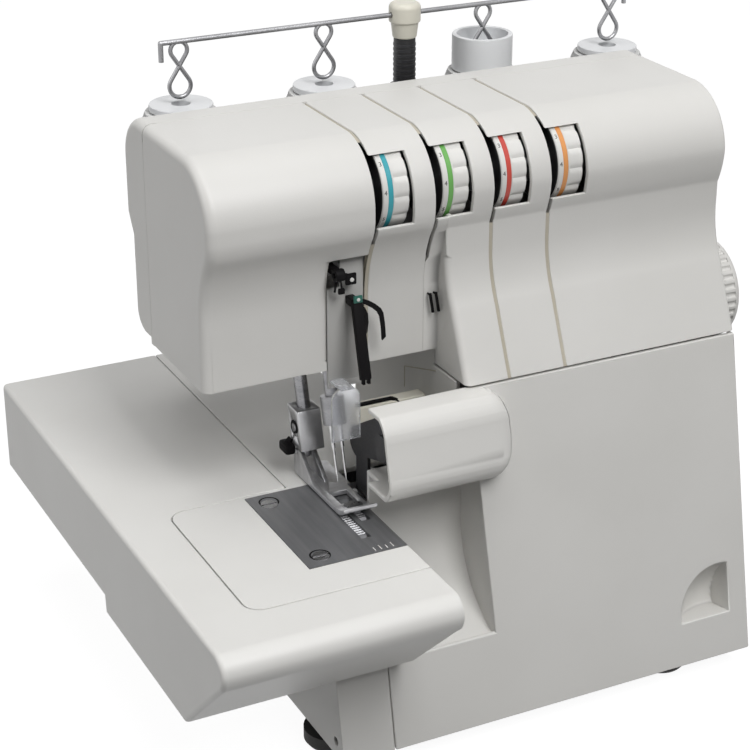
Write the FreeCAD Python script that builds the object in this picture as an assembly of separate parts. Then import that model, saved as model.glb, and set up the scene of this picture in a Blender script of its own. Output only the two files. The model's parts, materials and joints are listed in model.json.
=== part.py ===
import FreeCAD, Part
import math
import os

# Overlock sewing machine, modelled in millimetres.
# Working frame: x from the left edge of the extension table to the right, y from its front edge
# to the back, z up from the table top. Every shape is moved to the part's own frame on export:
# origin under the middle of the machine, on the floor.

V = FreeCAD.Vector
X_AXIS = V(1, 0, 0)
Y_AXIS = V(0, 1, 0)
Z_AXIS = V(0, 0, 1)

# Overall places
plate_height = 118.0
machine_right = 306.0
machine_back = 200.0
head_left = 40.0
head_top = 171.0
head_bottom = 64.5
parting_height = 56.0
foot_height = 12.0
base_drop = plate_height - foot_height
side_front = 93.0
rear_cover_depth = 24.0
cover_split = machine_back - rear_cover_depth

# Walls and clearances
wall = 2.5
past = 1.0
cover_gap = 1.0
split_gap = 0.6
seat_gap = 0.3
inset_gap = 0.2
running_gap = 0.05
press_gap = 0.02

# Extension table and free arm
table_depth = 302.0
table_right = 112.0
table_rear_right = 85.6
table_drop_front = 57.0
table_drop_rear = 48.0
table_step = 149.0
table_nose_radius = 9.0
table_undercut_run = 5.0
table_undercut_end = 47.0
table_rim = 12.0
table_gap = 0.5
arm_left = 26.0
arm_front = 32.0
arm_back = 128.5
arm_drop = 38.0
arm_corner_radius = 8.0
bed_notch = 5.0

# Needle plate with its screws
needle_plate_left = 64.0
needle_plate_front = 54.0
needle_plate_back = 126.5
needle_plate_thickness = 2.0
plate_screw_radius = 4.0
plate_screw_depth = 1.2
plate_screw_proud = 0.2
plate_screw_shank = 1.5
plate_screw_length = 7.0
plate_screw_slot = 1.0
plate_well_inset = 20.0

# Feed dogs
main_dog_left = 96.6
main_dog_front = 72.0
main_dog_length = 38.0
front_dog_left = 103.8
front_dog_front = 87.0
front_dog_length = 9.0
dog_width = 4.0
dog_top = -0.6
dog_foot = -24.7
dog_stroke = 4.0
dog_clearance = 0.4
dog_pitch = 2.0
dog_tooth = 0.9

# Front covers and thread slots
slot_first = 120.0
slot_pitch = 30.0
slot_count = 4
slot_width = 1.6
nose_front = 100.0
nose_height = 143.0
waist_front = 104.0
flare_front = 83.0
flare_left = 157.0
lower_face_front = 111.5
take_up_recess_left = 100.0
take_up_recess_top = 119.0
bars_opening_left = 90.0
head_edge_radius = 4.5

# Side outline of the front covers, as runs back from the nose or waist and drops below nose or top
brow_start = 27.0
brow_run = 8.0
brow_drop = 9.5
cheek_run = 1.3
cheek_drop = 9.0
waist_high = 17.0
waist_low = 29.0
hip_run = -1.5
hip_drop = 41.0
flare_run = -7.0
flare_drop = 55.0
nose_low_drop = 5.0
chin_lean = 31.6
chin_radius = 20.0
cover_open_run = 20.0

# Rear cover
back_bulge = 4.0
back_round_run = 13.0
back_round_drop = 20.0
back_straight_drop = 49.0
back_waist = 2.0
back_waist_drop = 59.0
back_foot_radius = 12.0
vent_count = 4
vent_low = 78.0
vent_pitch = 4.6
vent_height = 2.0
vent_length = 64.0
vent_depth = 1.2

# Tension dials
dial_y = 123.5
dial_z = 145.5
dial_radius = 21.0
dial_clearance = 0.8
dial_width = 13.5
dial_offset = 4.0
dial_ribs = 30
dial_rib_radius = 1.5
dial_plain_rim = 6.0
dial_web = 3.0
dial_rim = 4.0
dial_window_width = 18.5
dial_window_low = 133.0
dial_window_high = 164.0
post_radius = 3.0
post_length = 26.0
disc_radius = 10.0
disc_thickness = 1.0
dial_bracket_offset = 20.0
dial_bracket_width = 3.0
dial_bracket_half = 6.0

# Looper cover
cover_left = 113.0
cover_low_left = 105.0
cover_foot = 50.0
scoop_right = 162.0
scoop_low = -66.0
scoop_back = 95.0
scoop_bend = -10.0
scoop_round_run = 11.0
scoop_round_rise = 18.0
pod_left = 108.0
pod_right = 175.0
pod_front = 63.0
pod_low = 15.0
pod_edge_radius = 9.0
pod_back_run = 3.0
pod_top_run = 12.0
pod_brow_run = 7.0
pod_brow_drop = 4.5
pod_face_run = 4.0
pod_face_drop = 12.0
pod_chin_rise = 13.0
pod_chin_run = 1.2
pod_chin_height = 4.0
pod_floor_run = 6.0
hinge_y = 59.0
hinge_rise = 8.0
hinge_z = hinge_rise - base_drop
rod_radius = 2.0
rod_left = 110.0
knuckle_radius = 4.2
knuckle_width = 14.0
knuckle_places = (rod_left + 18.0, machine_right - 36.0)
lug_places = (rod_left + 4.0, machine_right - 56.0, machine_right - 13.0)
lug_width = 6.0
finger_right = machine_right - 11.0
finger_low = 22.0 - base_drop
finger_bowl_radius = 25.5
finger_bowl_front = 10.0
finger_bowl_inset = 5.0
finger_bowl_rise = 3.0

# Base and feet
base_left = 78.0
base_top = -60.0
base_floor = 3.0
base_floor_run = 12.5
foot_radius = 14.0
foot_taper = 1.5
foot_taper_height = 2.0
foot_neck_radius = 7.0
foot_neck_height = 4.0
foot_inset = 2.0
front_foot_run = 17.0
right_foot_inset = 37.0

# Mains inlet, switch and stitch length dial on the right side
inlet_y = 159.0
inlet_z = -34.0
inlet_half_width = 14.0
inlet_half_height = 12.0
inlet_depth = 12.0
inlet_flange = 3.0
inlet_flange_thickness = 2.0
inlet_wall = 4.0
inlet_pin_pitch = 6.0
inlet_pin_length = 7.0
switch_y = 180.0
switch_z = 8.0
switch_half_width = 8.0
switch_half_height = 12.0
switch_clearance = 0.4
switch_swing_gap = 1.2
switch_boss_radius = 3.0
length_dial_y = 180.0
length_dial_z = 44.0
length_dial_radius = 13.0
length_dial_width = 8.0
length_dial_flutes = 18
length_dial_stub = 4.0

# Drive
shaft_y = 128.0
shaft_z = 61.0
shaft_radius = 4.0
shaft_hole_gap = 1.5
shaft_end = 12.0
crank_radius = 9.0
crank_length = 6.0
handwheel_radius = 26.0
handwheel_width = 17.0
handwheel_edge = 4.0
handwheel_hub = 9.0
handwheel_hollow = 9.0
handwheel_ribs = 36
handwheel_rib_radius = 1.5
shaft_pulley_radius = 20.0
motor_y = 165.0
motor_z = -55.0
motor_left = machine_right - 100.0
motor_right = machine_right - 50.0
motor_radius = 26.0
motor_shaft_radius = 3.0
motor_pulley_radius = 9.0
pulley_left = machine_right - 43.0
pulley_width = 12.0
pulley_rim = 2.5
pulley_rim_width = 1.5
belt_thickness = 1.5

# Cast frame
frame_left = 85.0
frame_front = 172.0
frame_back = 188.0
frame_top = 150.0
frame_upper_right = slot_first + slot_pitch * slot_count + 5.0
web_low = 40.0
web_high = 84.0
frame_plate_left = 165.0
frame_plate_right = machine_right - 10.0
frame_plate_front = 112.0
frame_plate_thickness = 8.0
column_left = 182.0
column_right = 202.0
column_front = 150.0
bearing_left = (170.0, 178.0)
bearing_right = (machine_right - 22.0, machine_right - 14.0)
bearing_left_front = 100.0
bearing_right_front = 108.0
bearing_low = 12.0
bush_radius = 7.0
bush_wall = 2.5
lower_guide = (70.0, 78.0)
upper_guide = (122.0, 130.0)
lower_guide_front = 115.0
upper_guide_front = 124.0
guide_left = 92.0
guide_right = 114.0
hanger_width = 4.0
bed_left = 90.0
bed_beam = (140.0, 175.0)
bed_low = -36.0
bed_high = -12.0
tongue_right = 106.0
tongue_front = 60.0
tongue_high = -25.0
cross_left = 34.0
cross_width = 15.0
pad_width = 10.0

# Needle bar, clamp and needles
bar_lean = 15.0
needle_x = 104.0
needle_y = 102.0
needle_bar_radius = 3.0
needle_bar_top = 148.0
needle_spacing = 4.4
needle_tip = 10.0
needle_point = 4.0
needle_blade = 16.0
needle_blade_radius = 0.55
needle_shank_radius = 1.0
clamp_low = 37.0
clamp_high = 50.0
clamp_radius = 5.5
clamp_socket = 8.0
clamp_shank = 4.0

# Presser bar, foot holder, foot and lifter
presser_x = 100.0
presser_y = 128.4
presser_bar_radius = 3.2
presser_bar_top = 140.0
holder_low = 15.0
holder_high = 36.0
holder_half = 6.0
holder_socket = 10.0
holder_tab_half = 1.9
holder_screw_radius = 3.0
holder_screw_length = 6.0
foot_left = 95.8
foot_right = 112.8
foot_front = 85.5
foot_back = 141.0
foot_gap = 0.6
foot_sole = 2.4
foot_pivot_y = 138.0
foot_pivot_z = 13.0
foot_pin_radius = 1.5
foot_cheek = 2.0
foot_cheek_front = 118.0
foot_cheek_rise = 2.0
foot_cheek_run = 4.0
foot_toe_run = 9.0
foot_toe_rise = 2.8
foot_way_front = 5.0
foot_way_back = 7.0
foot_fork_left = 7.0
foot_fork_width = 2.0
foot_fork_front = 3.0
foot_fork_back = 12.0
lifter_y = 181.0
lifter_way_run = 11.0
lifter_z = 66.0
lifter_radius = 3.0
lifter_plate = 3.8
lifter_boss_drop = 4.5
lifter_boss_run = 7.0

# Knives and loopers
knife_left = 113.3
knife_front = 100.0
lower_knife_thickness = 1.8
lower_knife_width = 14.0
lower_knife_low = -18.0
lower_knife_top = -0.3
knife_holder_right = 123.3
knife_holder_high = -12.0
knife_holder_step = -30.0
knife_holder_low = -40.0
knife_gap = 0.2
upper_knife_thickness = 1.6
upper_knife_width = 12.0
upper_knife_low = 1.0
knife_shaft_y = 112.0
knife_shaft_z = 25.0
knife_shaft_radius = 4.0
knife_boss_radius = 8.0
knife_boss_width = 8.0
knife_arm_width = 6.0
knife_knob_radius = 6.0
looper_thickness = 4.0
looper_pin_radius = 3.0
upper_looper_x = 150.0
upper_looper_z = -25.0
upper_looper_front = 118.0
lower_looper_x = 140.0
lower_looper_z = -60.0
lower_looper_front = 122.6
looper_post_left = 126.0
looper_post_front = 128.0
looper_post_back = 142.0
looper_pin_end = 137.0
looper_arm_top = -10.0
looper_foot_back = 160.0

# Thread guides at the needle side
take_up_y = 131.0
take_up_z = 112.0
take_up_pin_radius = 2.5
take_up_hub_radius = 5.0
take_up_hub_left = 92.4
take_up_hub_right = 98.0
take_up_cross_y = 115.0
take_up_cross_radius = 2.0
take_up_finger_front = 104.0
take_up_finger_right = 104.5
take_up_eye_radius = 2.9
take_up_tail_run = 16.5
take_up_tail_radius = 4.6
take_up_plate_thickness = 1.6
take_up_plate_low = 58.0
take_up_plate_high = 104.0
take_up_notch_right = 107.0
take_up_stem = 6.0
guide_bar_left = 109.0
guide_bar_right = 114.0
guide_bar_high = 101.0
guide_bar_low = 65.0
guide_bar_top_front = 103.0
guide_bar_foot_front = 93.5
guide_bar_thickness = 3.0
hook_wire_radius = 0.9
prong_radius = 0.7
prong_left = 152.0
prong_pitch = 3.0
prong_low = 84.0
prong_high = 94.5
prong_stand_off = 2.6
guard_left = 96.5
guard_right = 111.0
guard_front = 99.0
guard_thickness = 1.4
guard_low = 34.0
guard_high = 60.0
knife_guard_left = 120.0
knife_guard_front = 122.6
knife_guard_depth = 7.4
knife_guard_low = 12.0
knife_guard_high = 36.5
knife_guard_corner = 4.0

# Thread stand
stand_y = 226.0
stand_top = 70.0
stand_thickness = 8.0
stand_radius = 21.0
stand_bracket_half = 14.0
stand_bracket_low = 10.0
pole_x = 198.0
spool_inner = 44.5
spool_outer = 120.0
spool_pin_radius = 2.5
spool_pin_height = 84.0
spool_holder_height = 7.0
spool_holder_radius = 16.0
spool_holder_top_radius = 13.0
spool_radius = 15.5
spool_core_radius = 6.0
spool_bore_radius = 4.5
spool_flange = 2.0
spool_head = 3.0
spool_top = 163.0
tall_spool = 2
tall_spool_top = 178.0
winding_radius = 19.0
pole_radius = 5.5
pole_tube_wall = 1.9
pole_tube_floor = 3.0
pole_tube_top = 157.0
pole_gap = 0.1
cap_low = 181.0
cap_high = 199.0
cap_radius = 8.0
cap_shank = 8.0
cap_edge = 3.0
rail_height = 193.0
rail_radius = 1.25
rail_overhang = 9.0
eye_bottom = 165.0
eye_upper_radius = 4.2
eye_lower_radius = 5.4
eye_wire_radius = 1.05


def box(x0, x1, y0, y1, z0, z1):
    return Part.makeBox(x1 - x0, y1 - y0, z1 - z0, V(x0, y0, z0))


def rod_x(x0, x1, y, z, radius):
    return Part.makeCylinder(radius, x1 - x0, V(x0, y, z), X_AXIS)


def rod_y(y0, y1, x, z, radius):
    return Part.makeCylinder(radius, y1 - y0, V(x, y0, z), Y_AXIS)


def rod_z(z0, z1, x, y, radius):
    return Part.makeCylinder(radius, z1 - z0, V(x, y, z0), Z_AXIS)


def fused(shapes):
    whole = shapes[0]
    if len(shapes) > 1:
        whole = whole.multiFuse(shapes[1:])
    return whole.removeSplitter()


def group(shapes):
    return Part.makeCompound(shapes)


def outline_x(steps, x0, x1):
    # A closed outline in the Y-Z plane, extruded along X. A step is a point (y, z), or a pair of
    # points for an arc: one that the arc passes through and one where it ends.
    edges = []
    here = V(x0, steps[0][0], steps[0][1])
    for step in steps[1:] + steps[:1]:
        if isinstance(step[0], tuple):
            middle = V(x0, step[0][0], step[0][1])
            there = V(x0, step[1][0], step[1][1])
            edges.append(Part.Arc(here, middle, there).toShape())
        else:
            there = V(x0, step[0], step[1])
            edges.append(Part.makeLine(here, there))
        here = there
    return Part.Face(Part.Wire(edges)).extrude(V(x1 - x0, 0, 0))


def polygon_y(points, y0, y1):
    corners = [V(x, y0, z) for x, z in points]
    return Part.Face(Part.makePolygon(corners + corners[:1])).extrude(V(0, y1 - y0, 0))


def moved_outline(points, y, z):
    return [(y + run, z + rise) for run, rise in points]


def slot_x(number):
    return slot_first + slot_pitch * number


# Places that follow from the values above
half_slot = slot_width / 2
cover_top = parting_height - cover_gap
floor_top = -base_drop + base_floor
rear_split = cover_split + split_gap
pulley_right = pulley_left + pulley_width
face_slope = (flare_front - cover_foot) / (parting_height + base_drop)
take_up_plate_left = take_up_recess_left + table_gap
take_up_plate_right = slot_first - half_slot - table_gap
take_up_plate_front = lower_face_front + inset_gap
take_up_plate_top = take_up_recess_top - table_gap
chin_angle = math.radians(chin_lean)
chin_reach = (lower_face_front - nose_front) / (1 - math.cos(chin_angle))
chin_curve = chin_reach - chin_radius
nose_low = nose_height - nose_low_drop
face_high = nose_low - chin_reach * math.sin(chin_angle)
lean_tangent = math.tan(math.radians(bar_lean))
lean_direction = V(0, math.sin(math.radians(bar_lean)), math.cos(math.radians(bar_lean)))


def face_y(z):
    # The front face of the looper cover leans back from its foot to the parting line.
    return cover_foot + (z + base_drop) * face_slope


def on_bar(x, foot_y, z):
    # A point at a height on the axis of a leaning bar.
    return V(x, foot_y + z * lean_tangent, z)


def leaning_rod(x, foot_y, z0, z1, radius):
    length = (z1 - z0) / lean_direction.z
    return Part.makeCylinder(radius, length, on_bar(x, foot_y, z0), lean_direction)


def fluted(shape, count, y, z, reach, x0, x1, radius):
    # Round grooves along X, spread evenly on a circle.
    for number in range(count):
        angle = 2 * math.pi * number / count
        groove_y = y + reach * math.cos(angle)
        groove_z = z + reach * math.sin(angle)
        shape = shape.cut(rod_x(x0, x1, groove_y, groove_z, radius))
    return shape


# Covers of the head
def under_nose(inset):
    # The nose turns under and sweeps back into the flat face below it, in two arcs that meet smoothly.
    chin = chin_radius - inset
    sweep = chin_curve + inset
    chin_points = []
    sweep_points = []
    for angle in (chin_angle / 2, chin_angle):
        run = nose_front + chin_radius - chin * math.cos(angle)
        chin_points.append((run, nose_low - chin * math.sin(angle)))
    for angle in (chin_angle / 2, 0.0):
        run = lower_face_front - chin_curve + sweep * math.cos(angle)
        sweep_points.append((run, face_high + sweep * math.sin(angle)))
    return [(nose_front + inset, nose_low), tuple(chin_points), tuple(sweep_points)]


def front_region(inset, flared, x0, x1, back):
    # Cross-section of the front covers, drawn inwards by the inset, from the top round the nose.
    top = head_top - inset
    nose = nose_front + inset
    slant = 0.7 * inset
    brow_middle = (nose_front + brow_run + slant, head_top - brow_drop - slant)
    steps = [(back, top), (nose_front + brow_start, top), (brow_middle, (nose, nose_height))]
    if flared:
        low = parting_height
        waist = waist_front + inset
        steps += [
            ((nose + cheek_run, nose_height - cheek_drop), (waist, nose_height - waist_high)),
            (waist, nose_height - waist_low),
            ((waist + hip_run, nose_height - hip_drop), (waist + flare_run, nose_height - flare_drop)),
            (flare_front + inset, low),
        ]
    else:
        low = head_bottom
        steps += under_nose(inset) + [(lower_face_front + inset, low)]
    return outline_x(steps + [(back, low)], x0, x1)


def front_strip(x0, x1, flared):
    outside = front_region(0.0, flared, x0, x1, cover_split)
    inside = front_region(wall, flared, x0 - past, x1 + past, cover_split + past)
    low = parting_height if flared else head_bottom
    open_front = nose_front + cover_open_run
    below = box(x0 - past, x1 + past, open_front, cover_split + past, low - past, low + past)
    return outside.cut(inside).cut(below)


def dial_window(number):
    left = slot_x(number) - slot_width
    right = slot_x(number) + dial_window_width
    opening = box(left, right, nose_front - past, dial_y, dial_window_low, dial_window_high)
    return opening.fuse(rod_x(left, right, dial_y, dial_z, dial_radius + dial_clearance))


def rounded_left_end(inset, right, back):
    solid = front_region(inset, False, head_left + inset, right, back)
    left_edges = []
    for edge in solid.Edges:
        middle = edge.CenterOfMass
        at_left = abs(middle.x - head_left - inset) < running_gap
        if at_left and middle.y < back - past and middle.z > head_bottom + past:
            left_edges.append(edge)
    return solid.makeFillet(head_edge_radius - inset, left_edges)


def make_head_cover():
    right = slot_x(0) - half_slot
    back = cover_split + past
    solid = rounded_left_end(0.0, right, cover_split)
    hollow = rounded_left_end(wall, right + past, back)
    hollow = hollow.common(box(head_left, right + past, 0, back, head_bottom + wall, head_top))
    opening_top = head_bottom + wall + past
    bars_opening = box(bars_opening_left, right + past, 0, back, head_bottom - past, opening_top)
    recess = box(take_up_recess_left, right + past, 0, back, head_bottom - past, take_up_recess_top)
    return solid.cut(hollow).cut(bars_opening).cut(recess)


def make_tension_strip(number):
    left = slot_x(number) + half_slot
    right = slot_x(number + 1) - half_slot
    if left < flare_left < right:
        side = front_region(0.0, True, flare_left, flare_left + wall, cover_split)
        behind = box(0, machine_right, lower_face_front + wall, machine_back, 0, head_top)
        plain = front_strip(left, flare_left, False)
        strip = fused([plain, front_strip(flare_left, right, True), side.cut(behind)])
    else:
        strip = front_strip(left, right, left > flare_left)
    return strip.cut(dial_window(number))


def shaft_hole():
    radius = shaft_radius + shaft_hole_gap
    return rod_x(machine_right - shaft_end, machine_right + past, shaft_y, shaft_z, radius)


def make_right_front_cover():
    last = slot_count - 1
    strip = front_strip(slot_x(last) + half_slot, machine_right, True)
    side = front_region(0.0, True, machine_right - wall, machine_right, cover_split)
    return fused([strip, side]).cut(dial_window(last)).cut(shaft_hole())


def head_back_region(inset, x0, x1, overhang):
    # Cross-section of the head behind the split. The overhang left of the bed has a rounded foot.
    top = head_top - inset
    back = machine_back + back_bulge - inset
    waist = machine_back - back_waist - inset
    slant = 0.7 * inset
    round_middle = (machine_back - back_bulge - slant, head_top - 0.2 * back_round_drop - slant)
    steps = [
        (rear_split, top),
        (machine_back - back_round_run, top),
        (round_middle, (back, head_top - back_round_drop)),
        (back, head_top - back_straight_drop),
        (waist, head_top - back_waist_drop),
    ]
    if overhang:
        low = head_bottom + inset
        radius = back_foot_radius - inset
        foot_y = waist - radius
        foot_z = low + radius
        diagonal = radius * math.sqrt(0.5)
        steps += [(waist, foot_z), ((foot_y + diagonal, foot_z - diagonal), (foot_y, low))]
    else:
        low = head_bottom - past
        steps += [(waist, low)]
    return outline_x(steps + [(rear_split, low)], x0, x1)


def rounded_overhang():
    solid = head_back_region(0.0, head_left, flare_left + past, True)
    left_edges = []
    for edge in solid.Edges:
        middle = edge.CenterOfMass
        at_left = abs(middle.x - head_left) < running_gap
        if at_left and middle.y > rear_split + past and middle.z > head_bottom + past:
            left_edges.append(edge)
    return solid.makeFillet(head_edge_radius, left_edges)


def make_rear_cover():
    inner_left = head_left + wall
    inner_right = machine_right - wall
    inner_back = machine_back - wall
    bed_under = -wall - inset_gap / 2
    inner_waist = inner_back - back_waist
    right_head = head_back_region(0.0, flare_left, machine_right, False)
    head = rounded_overhang().fuse(right_head)
    left_hollow = head_back_region(wall, inner_left, flare_left + wall + past, True)
    right_hollow = head_back_region(wall, flare_left + wall, inner_right, False)
    split_front = rear_split - past
    way_high = head_bottom + back_round_run
    way_low = head_bottom + wall
    front_way = box(inner_left, inner_right, split_front, rear_split + past, way_low, head_top - wall)
    head = head.cut(left_hollow.fuse(right_hollow).fuse(front_way))
    head = head.cut(box(flare_left + wall, inner_right, split_front, inner_waist, 0, way_high))
    low_right = box(flare_left, machine_right, side_front, machine_back, base_top, cover_top)
    upper_right = box(flare_left, machine_right, rear_split, machine_back, base_top, head_bottom)
    wall_front = lower_face_front + wall + split_gap
    wall_right = flare_left + wall
    throat_wall = box(flare_left, wall_right, wall_front, rear_split + past, 0, head_bottom - inset_gap)
    low_right = fused([low_right, upper_right, throat_wall])
    inside_front = side_front - past
    inside_high = head_bottom + past
    inside = box(wall_right, inner_right, inside_front, inner_back, base_top - past, inside_high)
    low_right = low_right.cut(inside)
    bed_edge = table_rear_right + table_gap
    low_left = box(bed_edge, flare_left + wall, arm_back + table_gap, machine_back, base_top, bed_under)
    low_left = low_left.cut(box(bed_edge + wall, flare_left + wall + past, 0, inner_back, base_top - past, 0))
    cover = fused([head, low_right, low_left])
    lever_back = lifter_y + lifter_way_run
    lever_high = head_bottom + wall + table_gap
    lever_left = bars_opening_left - table_gap
    cover = cover.cut(box(lever_left, slot_first, 0, lever_back, head_bottom - past, lever_high))
    throat_front = knife_shaft_y + knife_shaft_radius + cover_gap
    side_left = flare_left - past
    side_right = flare_left + wall + past
    window_high = knife_shaft_z + knife_boss_radius + cover_gap
    cover = cover.cut(box(side_left, side_right, 0, throat_front, base_top - past, window_high))
    cover = cover.cut(box(side_left, side_right, 0, inner_back, base_top - past, bed_under))
    cover = cover.cut(shaft_hole()).cut(inlet_hole()).cut(switch_hole())
    stub_hole = length_dial_stub + running_gap
    hole_end = machine_right + past
    cover = cover.cut(rod_x(inner_right - past, hole_end, length_dial_y, length_dial_z, stub_hole))
    vent_front = machine_back - back_waist - vent_depth
    vent_right = head_left + vent_length
    for number in range(vent_count):
        low = vent_low + number * vent_pitch
        high = low + vent_height
        cover = cover.cut(box(head_left - past, vent_right, vent_front, machine_back, low, high))
    return cover


# Mains inlet, switch and stitch length dial
def inlet_block(x0, x1, spread):
    half_width = inlet_half_width + spread
    half_height = inlet_half_height + spread
    y0, y1 = inlet_y - half_width, inlet_y + half_width
    z0, z1 = inlet_z - half_height, inlet_z + half_height
    return box(x0, x1, y0, y1, z0, z1)


def inlet_hole():
    return inlet_block(machine_right - inlet_depth, machine_right + past, 0.0)


def make_power_inlet():
    front = machine_right + inlet_flange_thickness
    socket_floor = machine_right - inlet_depth + past
    body = inlet_block(socket_floor - inlet_flange, machine_right, -inset_gap)
    flange = inlet_block(machine_right, front, inlet_flange)
    inlet = fused([body, flange]).cut(inlet_block(socket_floor, front + past, -inlet_wall))
    pins = []
    for place in (-inlet_pin_pitch, 0.0, inlet_pin_pitch):
        y = inlet_y + place
        pin_end = socket_floor - past + inlet_pin_length
        pins.append(box(socket_floor - past, pin_end, y - 1, y + 1, inlet_z - 2, inlet_z + 2))
    return fused([inlet] + pins)


def switch_hole():
    y0, y1 = switch_y - switch_half_width, switch_y + switch_half_width
    z0, z1 = switch_z - switch_half_height, switch_z + switch_half_height
    return box(machine_right - inlet_depth, machine_right + past, y0, y1, z0, z1)


def make_power_switch():
    half = switch_half_height - switch_swing_gap
    reach = switch_half_width - switch_clearance
    pivot_x = machine_right - past
    front = switch_y - reach
    back = switch_y + reach
    points = [(0, -half), (5.0, -half), (3.2, 0), (2.0, half), (0, half)]
    rocker = polygon_y([(pivot_x + x, switch_z + z) for x, z in points], front, back)
    return fused([rocker, rod_y(front, back, pivot_x, switch_z, switch_boss_radius)])


def make_stitch_length_dial():
    right = machine_right + length_dial_width
    knob = rod_x(machine_right + seat_gap, right, length_dial_y, length_dial_z, length_dial_radius)
    flute = 1.1
    reach = length_dial_radius + 0.4
    end = right + past
    knob = fluted(knob, length_dial_flutes, length_dial_y, length_dial_z, reach, machine_right, end, flute)
    stub_left = machine_right - length_dial_width
    stub = rod_x(stub_left, machine_right + past, length_dial_y, length_dial_z, length_dial_stub)
    return fused([knob, stub])


# Extension table, free arm and needle plate
def table_outline(inset, x0, x1):
    nose = table_nose_radius
    slant = 0.7 * inset
    low_front = -table_drop_front + inset
    low_rear = -table_drop_rear + inset
    back = table_depth - inset
    under = (table_undercut_run + slant, -2 * nose + 0.5 + slant)
    steps = [
        (back, -inset),
        (nose, -inset),
        ((nose * 0.3 + slant, -nose * 0.3 - slant), (inset, -nose)),
        ((nose * 0.145 + inset, -nose * 1.5), under),
        (table_undercut_end + 0.4 * inset, low_front),
        (table_step - inset, low_front),
        (table_step + past - inset, low_rear),
        (back, low_rear),
    ]
    return outline_x(steps, x0, x1)


def arm_block(x1, spread, z0, z1):
    # The free arm's outline with rounded left corners, grown by the spread.
    block = box(arm_left - spread, x1, arm_front - spread, arm_back + spread, z0, z1)
    corner_edges = []
    for edge in block.Edges:
        at_left = abs(edge.CenterOfMass.x - arm_left + spread) < running_gap
        if at_left and edge.BoundBox.ZLength > arm_drop - past:
            corner_edges.append(edge)
    return block.makeFillet(arm_corner_radius + spread, corner_edges)


def make_extension_table():
    shell = table_outline(0.0, 0.0, table_right)
    shell = shell.cut(table_outline(wall, wall, table_right + past))
    edge = table_gap + wall
    lining = box(arm_left - edge, table_right, arm_front - edge, arm_back + edge, -table_rim, -wall)
    side_left = table_rear_right - wall
    side = box(side_left, table_rear_right, arm_back + table_gap, table_depth - wall, -table_rim, -wall)
    notch = arm_block(table_right + past, table_gap, -arm_drop - wall, past)
    rear = box(table_rear_right, table_right + past, arm_back, table_depth + past, -base_drop, past)
    return fused([shell, lining, side]).cut(notch).cut(rear)


def make_free_arm_cover():
    top = arm_block(table_right, 0.0, -arm_drop, 0)
    inner_front = arm_front + wall
    inner_back = arm_back - wall
    top = top.cut(box(arm_left + wall, table_right + past, inner_front, inner_back, -arm_drop - past, -wall))
    bed_edge = table_rear_right + table_gap
    bed_right = flare_left - inset_gap
    bed = box(bed_edge, bed_right, inner_back, table_depth, -wall, 0)
    skirt_front = machine_back + inset_gap
    shelf = box(bed_edge, bed_right, skirt_front, table_depth, -arm_drop, -wall + past)
    shelf_back = table_depth - wall
    shelf = shelf.cut(box(bed_edge + wall, bed_right - wall, 0, shelf_back, -arm_drop - past, -wall))
    bed = bed.fuse(shelf)
    bed = bed.cut(box(table_right, flare_left, 0, arm_back + bed_notch, -wall - past, past))
    right = table_right + past
    seat_front = needle_plate_front - inset_gap
    seat_back = needle_plate_back + inset_gap
    seat = box(needle_plate_left - inset_gap, right, seat_front, seat_back, -needle_plate_thickness, past)
    well_left = needle_plate_left + plate_well_inset
    well_front = needle_plate_front + plate_screw_radius
    well_back = needle_plate_back - 1.5 * plate_screw_radius
    well = box(well_left, right, well_front, well_back, -arm_drop - past, past)
    back_way = box(bed_edge, right, inner_back - past, arm_back + past, -arm_drop - past, -wall)
    cover = fused([top, bed]).cut(seat).cut(well).cut(back_way)
    return cover.cut(plate_screw_holes(plate_screw_shank))


def plate_screw_places():
    back_screw = (needle_plate_left + 2 * plate_screw_radius, needle_plate_back - 2.5 * plate_screw_radius)
    front_screw = (needle_plate_left + 2.25 * plate_screw_radius, needle_plate_front + 2 * plate_screw_radius)
    return [back_screw, front_screw]


def plate_screw_holes(radius):
    low = -plate_screw_length - past
    return group([rod_z(low, past, x, y, radius) for x, y in plate_screw_places()])


def dog_slot(left, front, length):
    right = left + dog_width + dog_clearance
    back = front + length + dog_stroke
    low = -needle_plate_thickness - past
    return box(left - dog_clearance, right, front - dog_stroke, back, low, past)


def make_needle_plate():
    low = -needle_plate_thickness
    plate = box(needle_plate_left, table_right, needle_plate_front, needle_plate_back, low, 0)
    plate = plate.cut(dog_slot(main_dog_left, main_dog_front, main_dog_length))
    plate = plate.cut(dog_slot(front_dog_left, front_dog_front, front_dog_length))
    reach = needle_spacing / 2 + 2
    half = needle_bar_radius + table_gap
    needle_way = box(needle_x - reach, needle_x + reach, needle_y - half, needle_y + half, low - past, past)
    sink_radius = plate_screw_radius + inset_gap / 2
    sinks = [rod_z(-plate_screw_depth, past, x, y, sink_radius) for x, y in plate_screw_places()]
    return plate.cut(needle_way).cut(group(sinks)).cut(plate_screw_holes(plate_screw_shank + inset_gap / 2))


def make_needle_plate_screws():
    screws = []
    half = plate_screw_slot / 2
    for x, y in plate_screw_places():
        head = rod_z(-plate_screw_depth, plate_screw_proud, x, y, plate_screw_radius)
        shank = rod_z(-plate_screw_length, -past, x, y, plate_screw_shank - running_gap)
        reach = plate_screw_radius + past
        slot = box(x - reach, x + reach, y - half, y + half, -half, past)
        screws.append(fused([head, shank]).cut(slot))
    return group(screws)


def make_feed_dog(left, front, length):
    right = left + dog_width
    dog = box(left, right, front, front + length, dog_foot, dog_top)
    mouth = dog_top + 0.1
    for number in range(int(length / dog_pitch)):
        y = front + dog_pitch * (number + 0.5)
        tooth = [(y - 0.3 * dog_pitch, mouth), (y, dog_top - dog_tooth), (y + 0.4 * dog_pitch, mouth)]
        dog = dog.cut(outline_x(tooth, left - past, right + past))
    return dog


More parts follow.
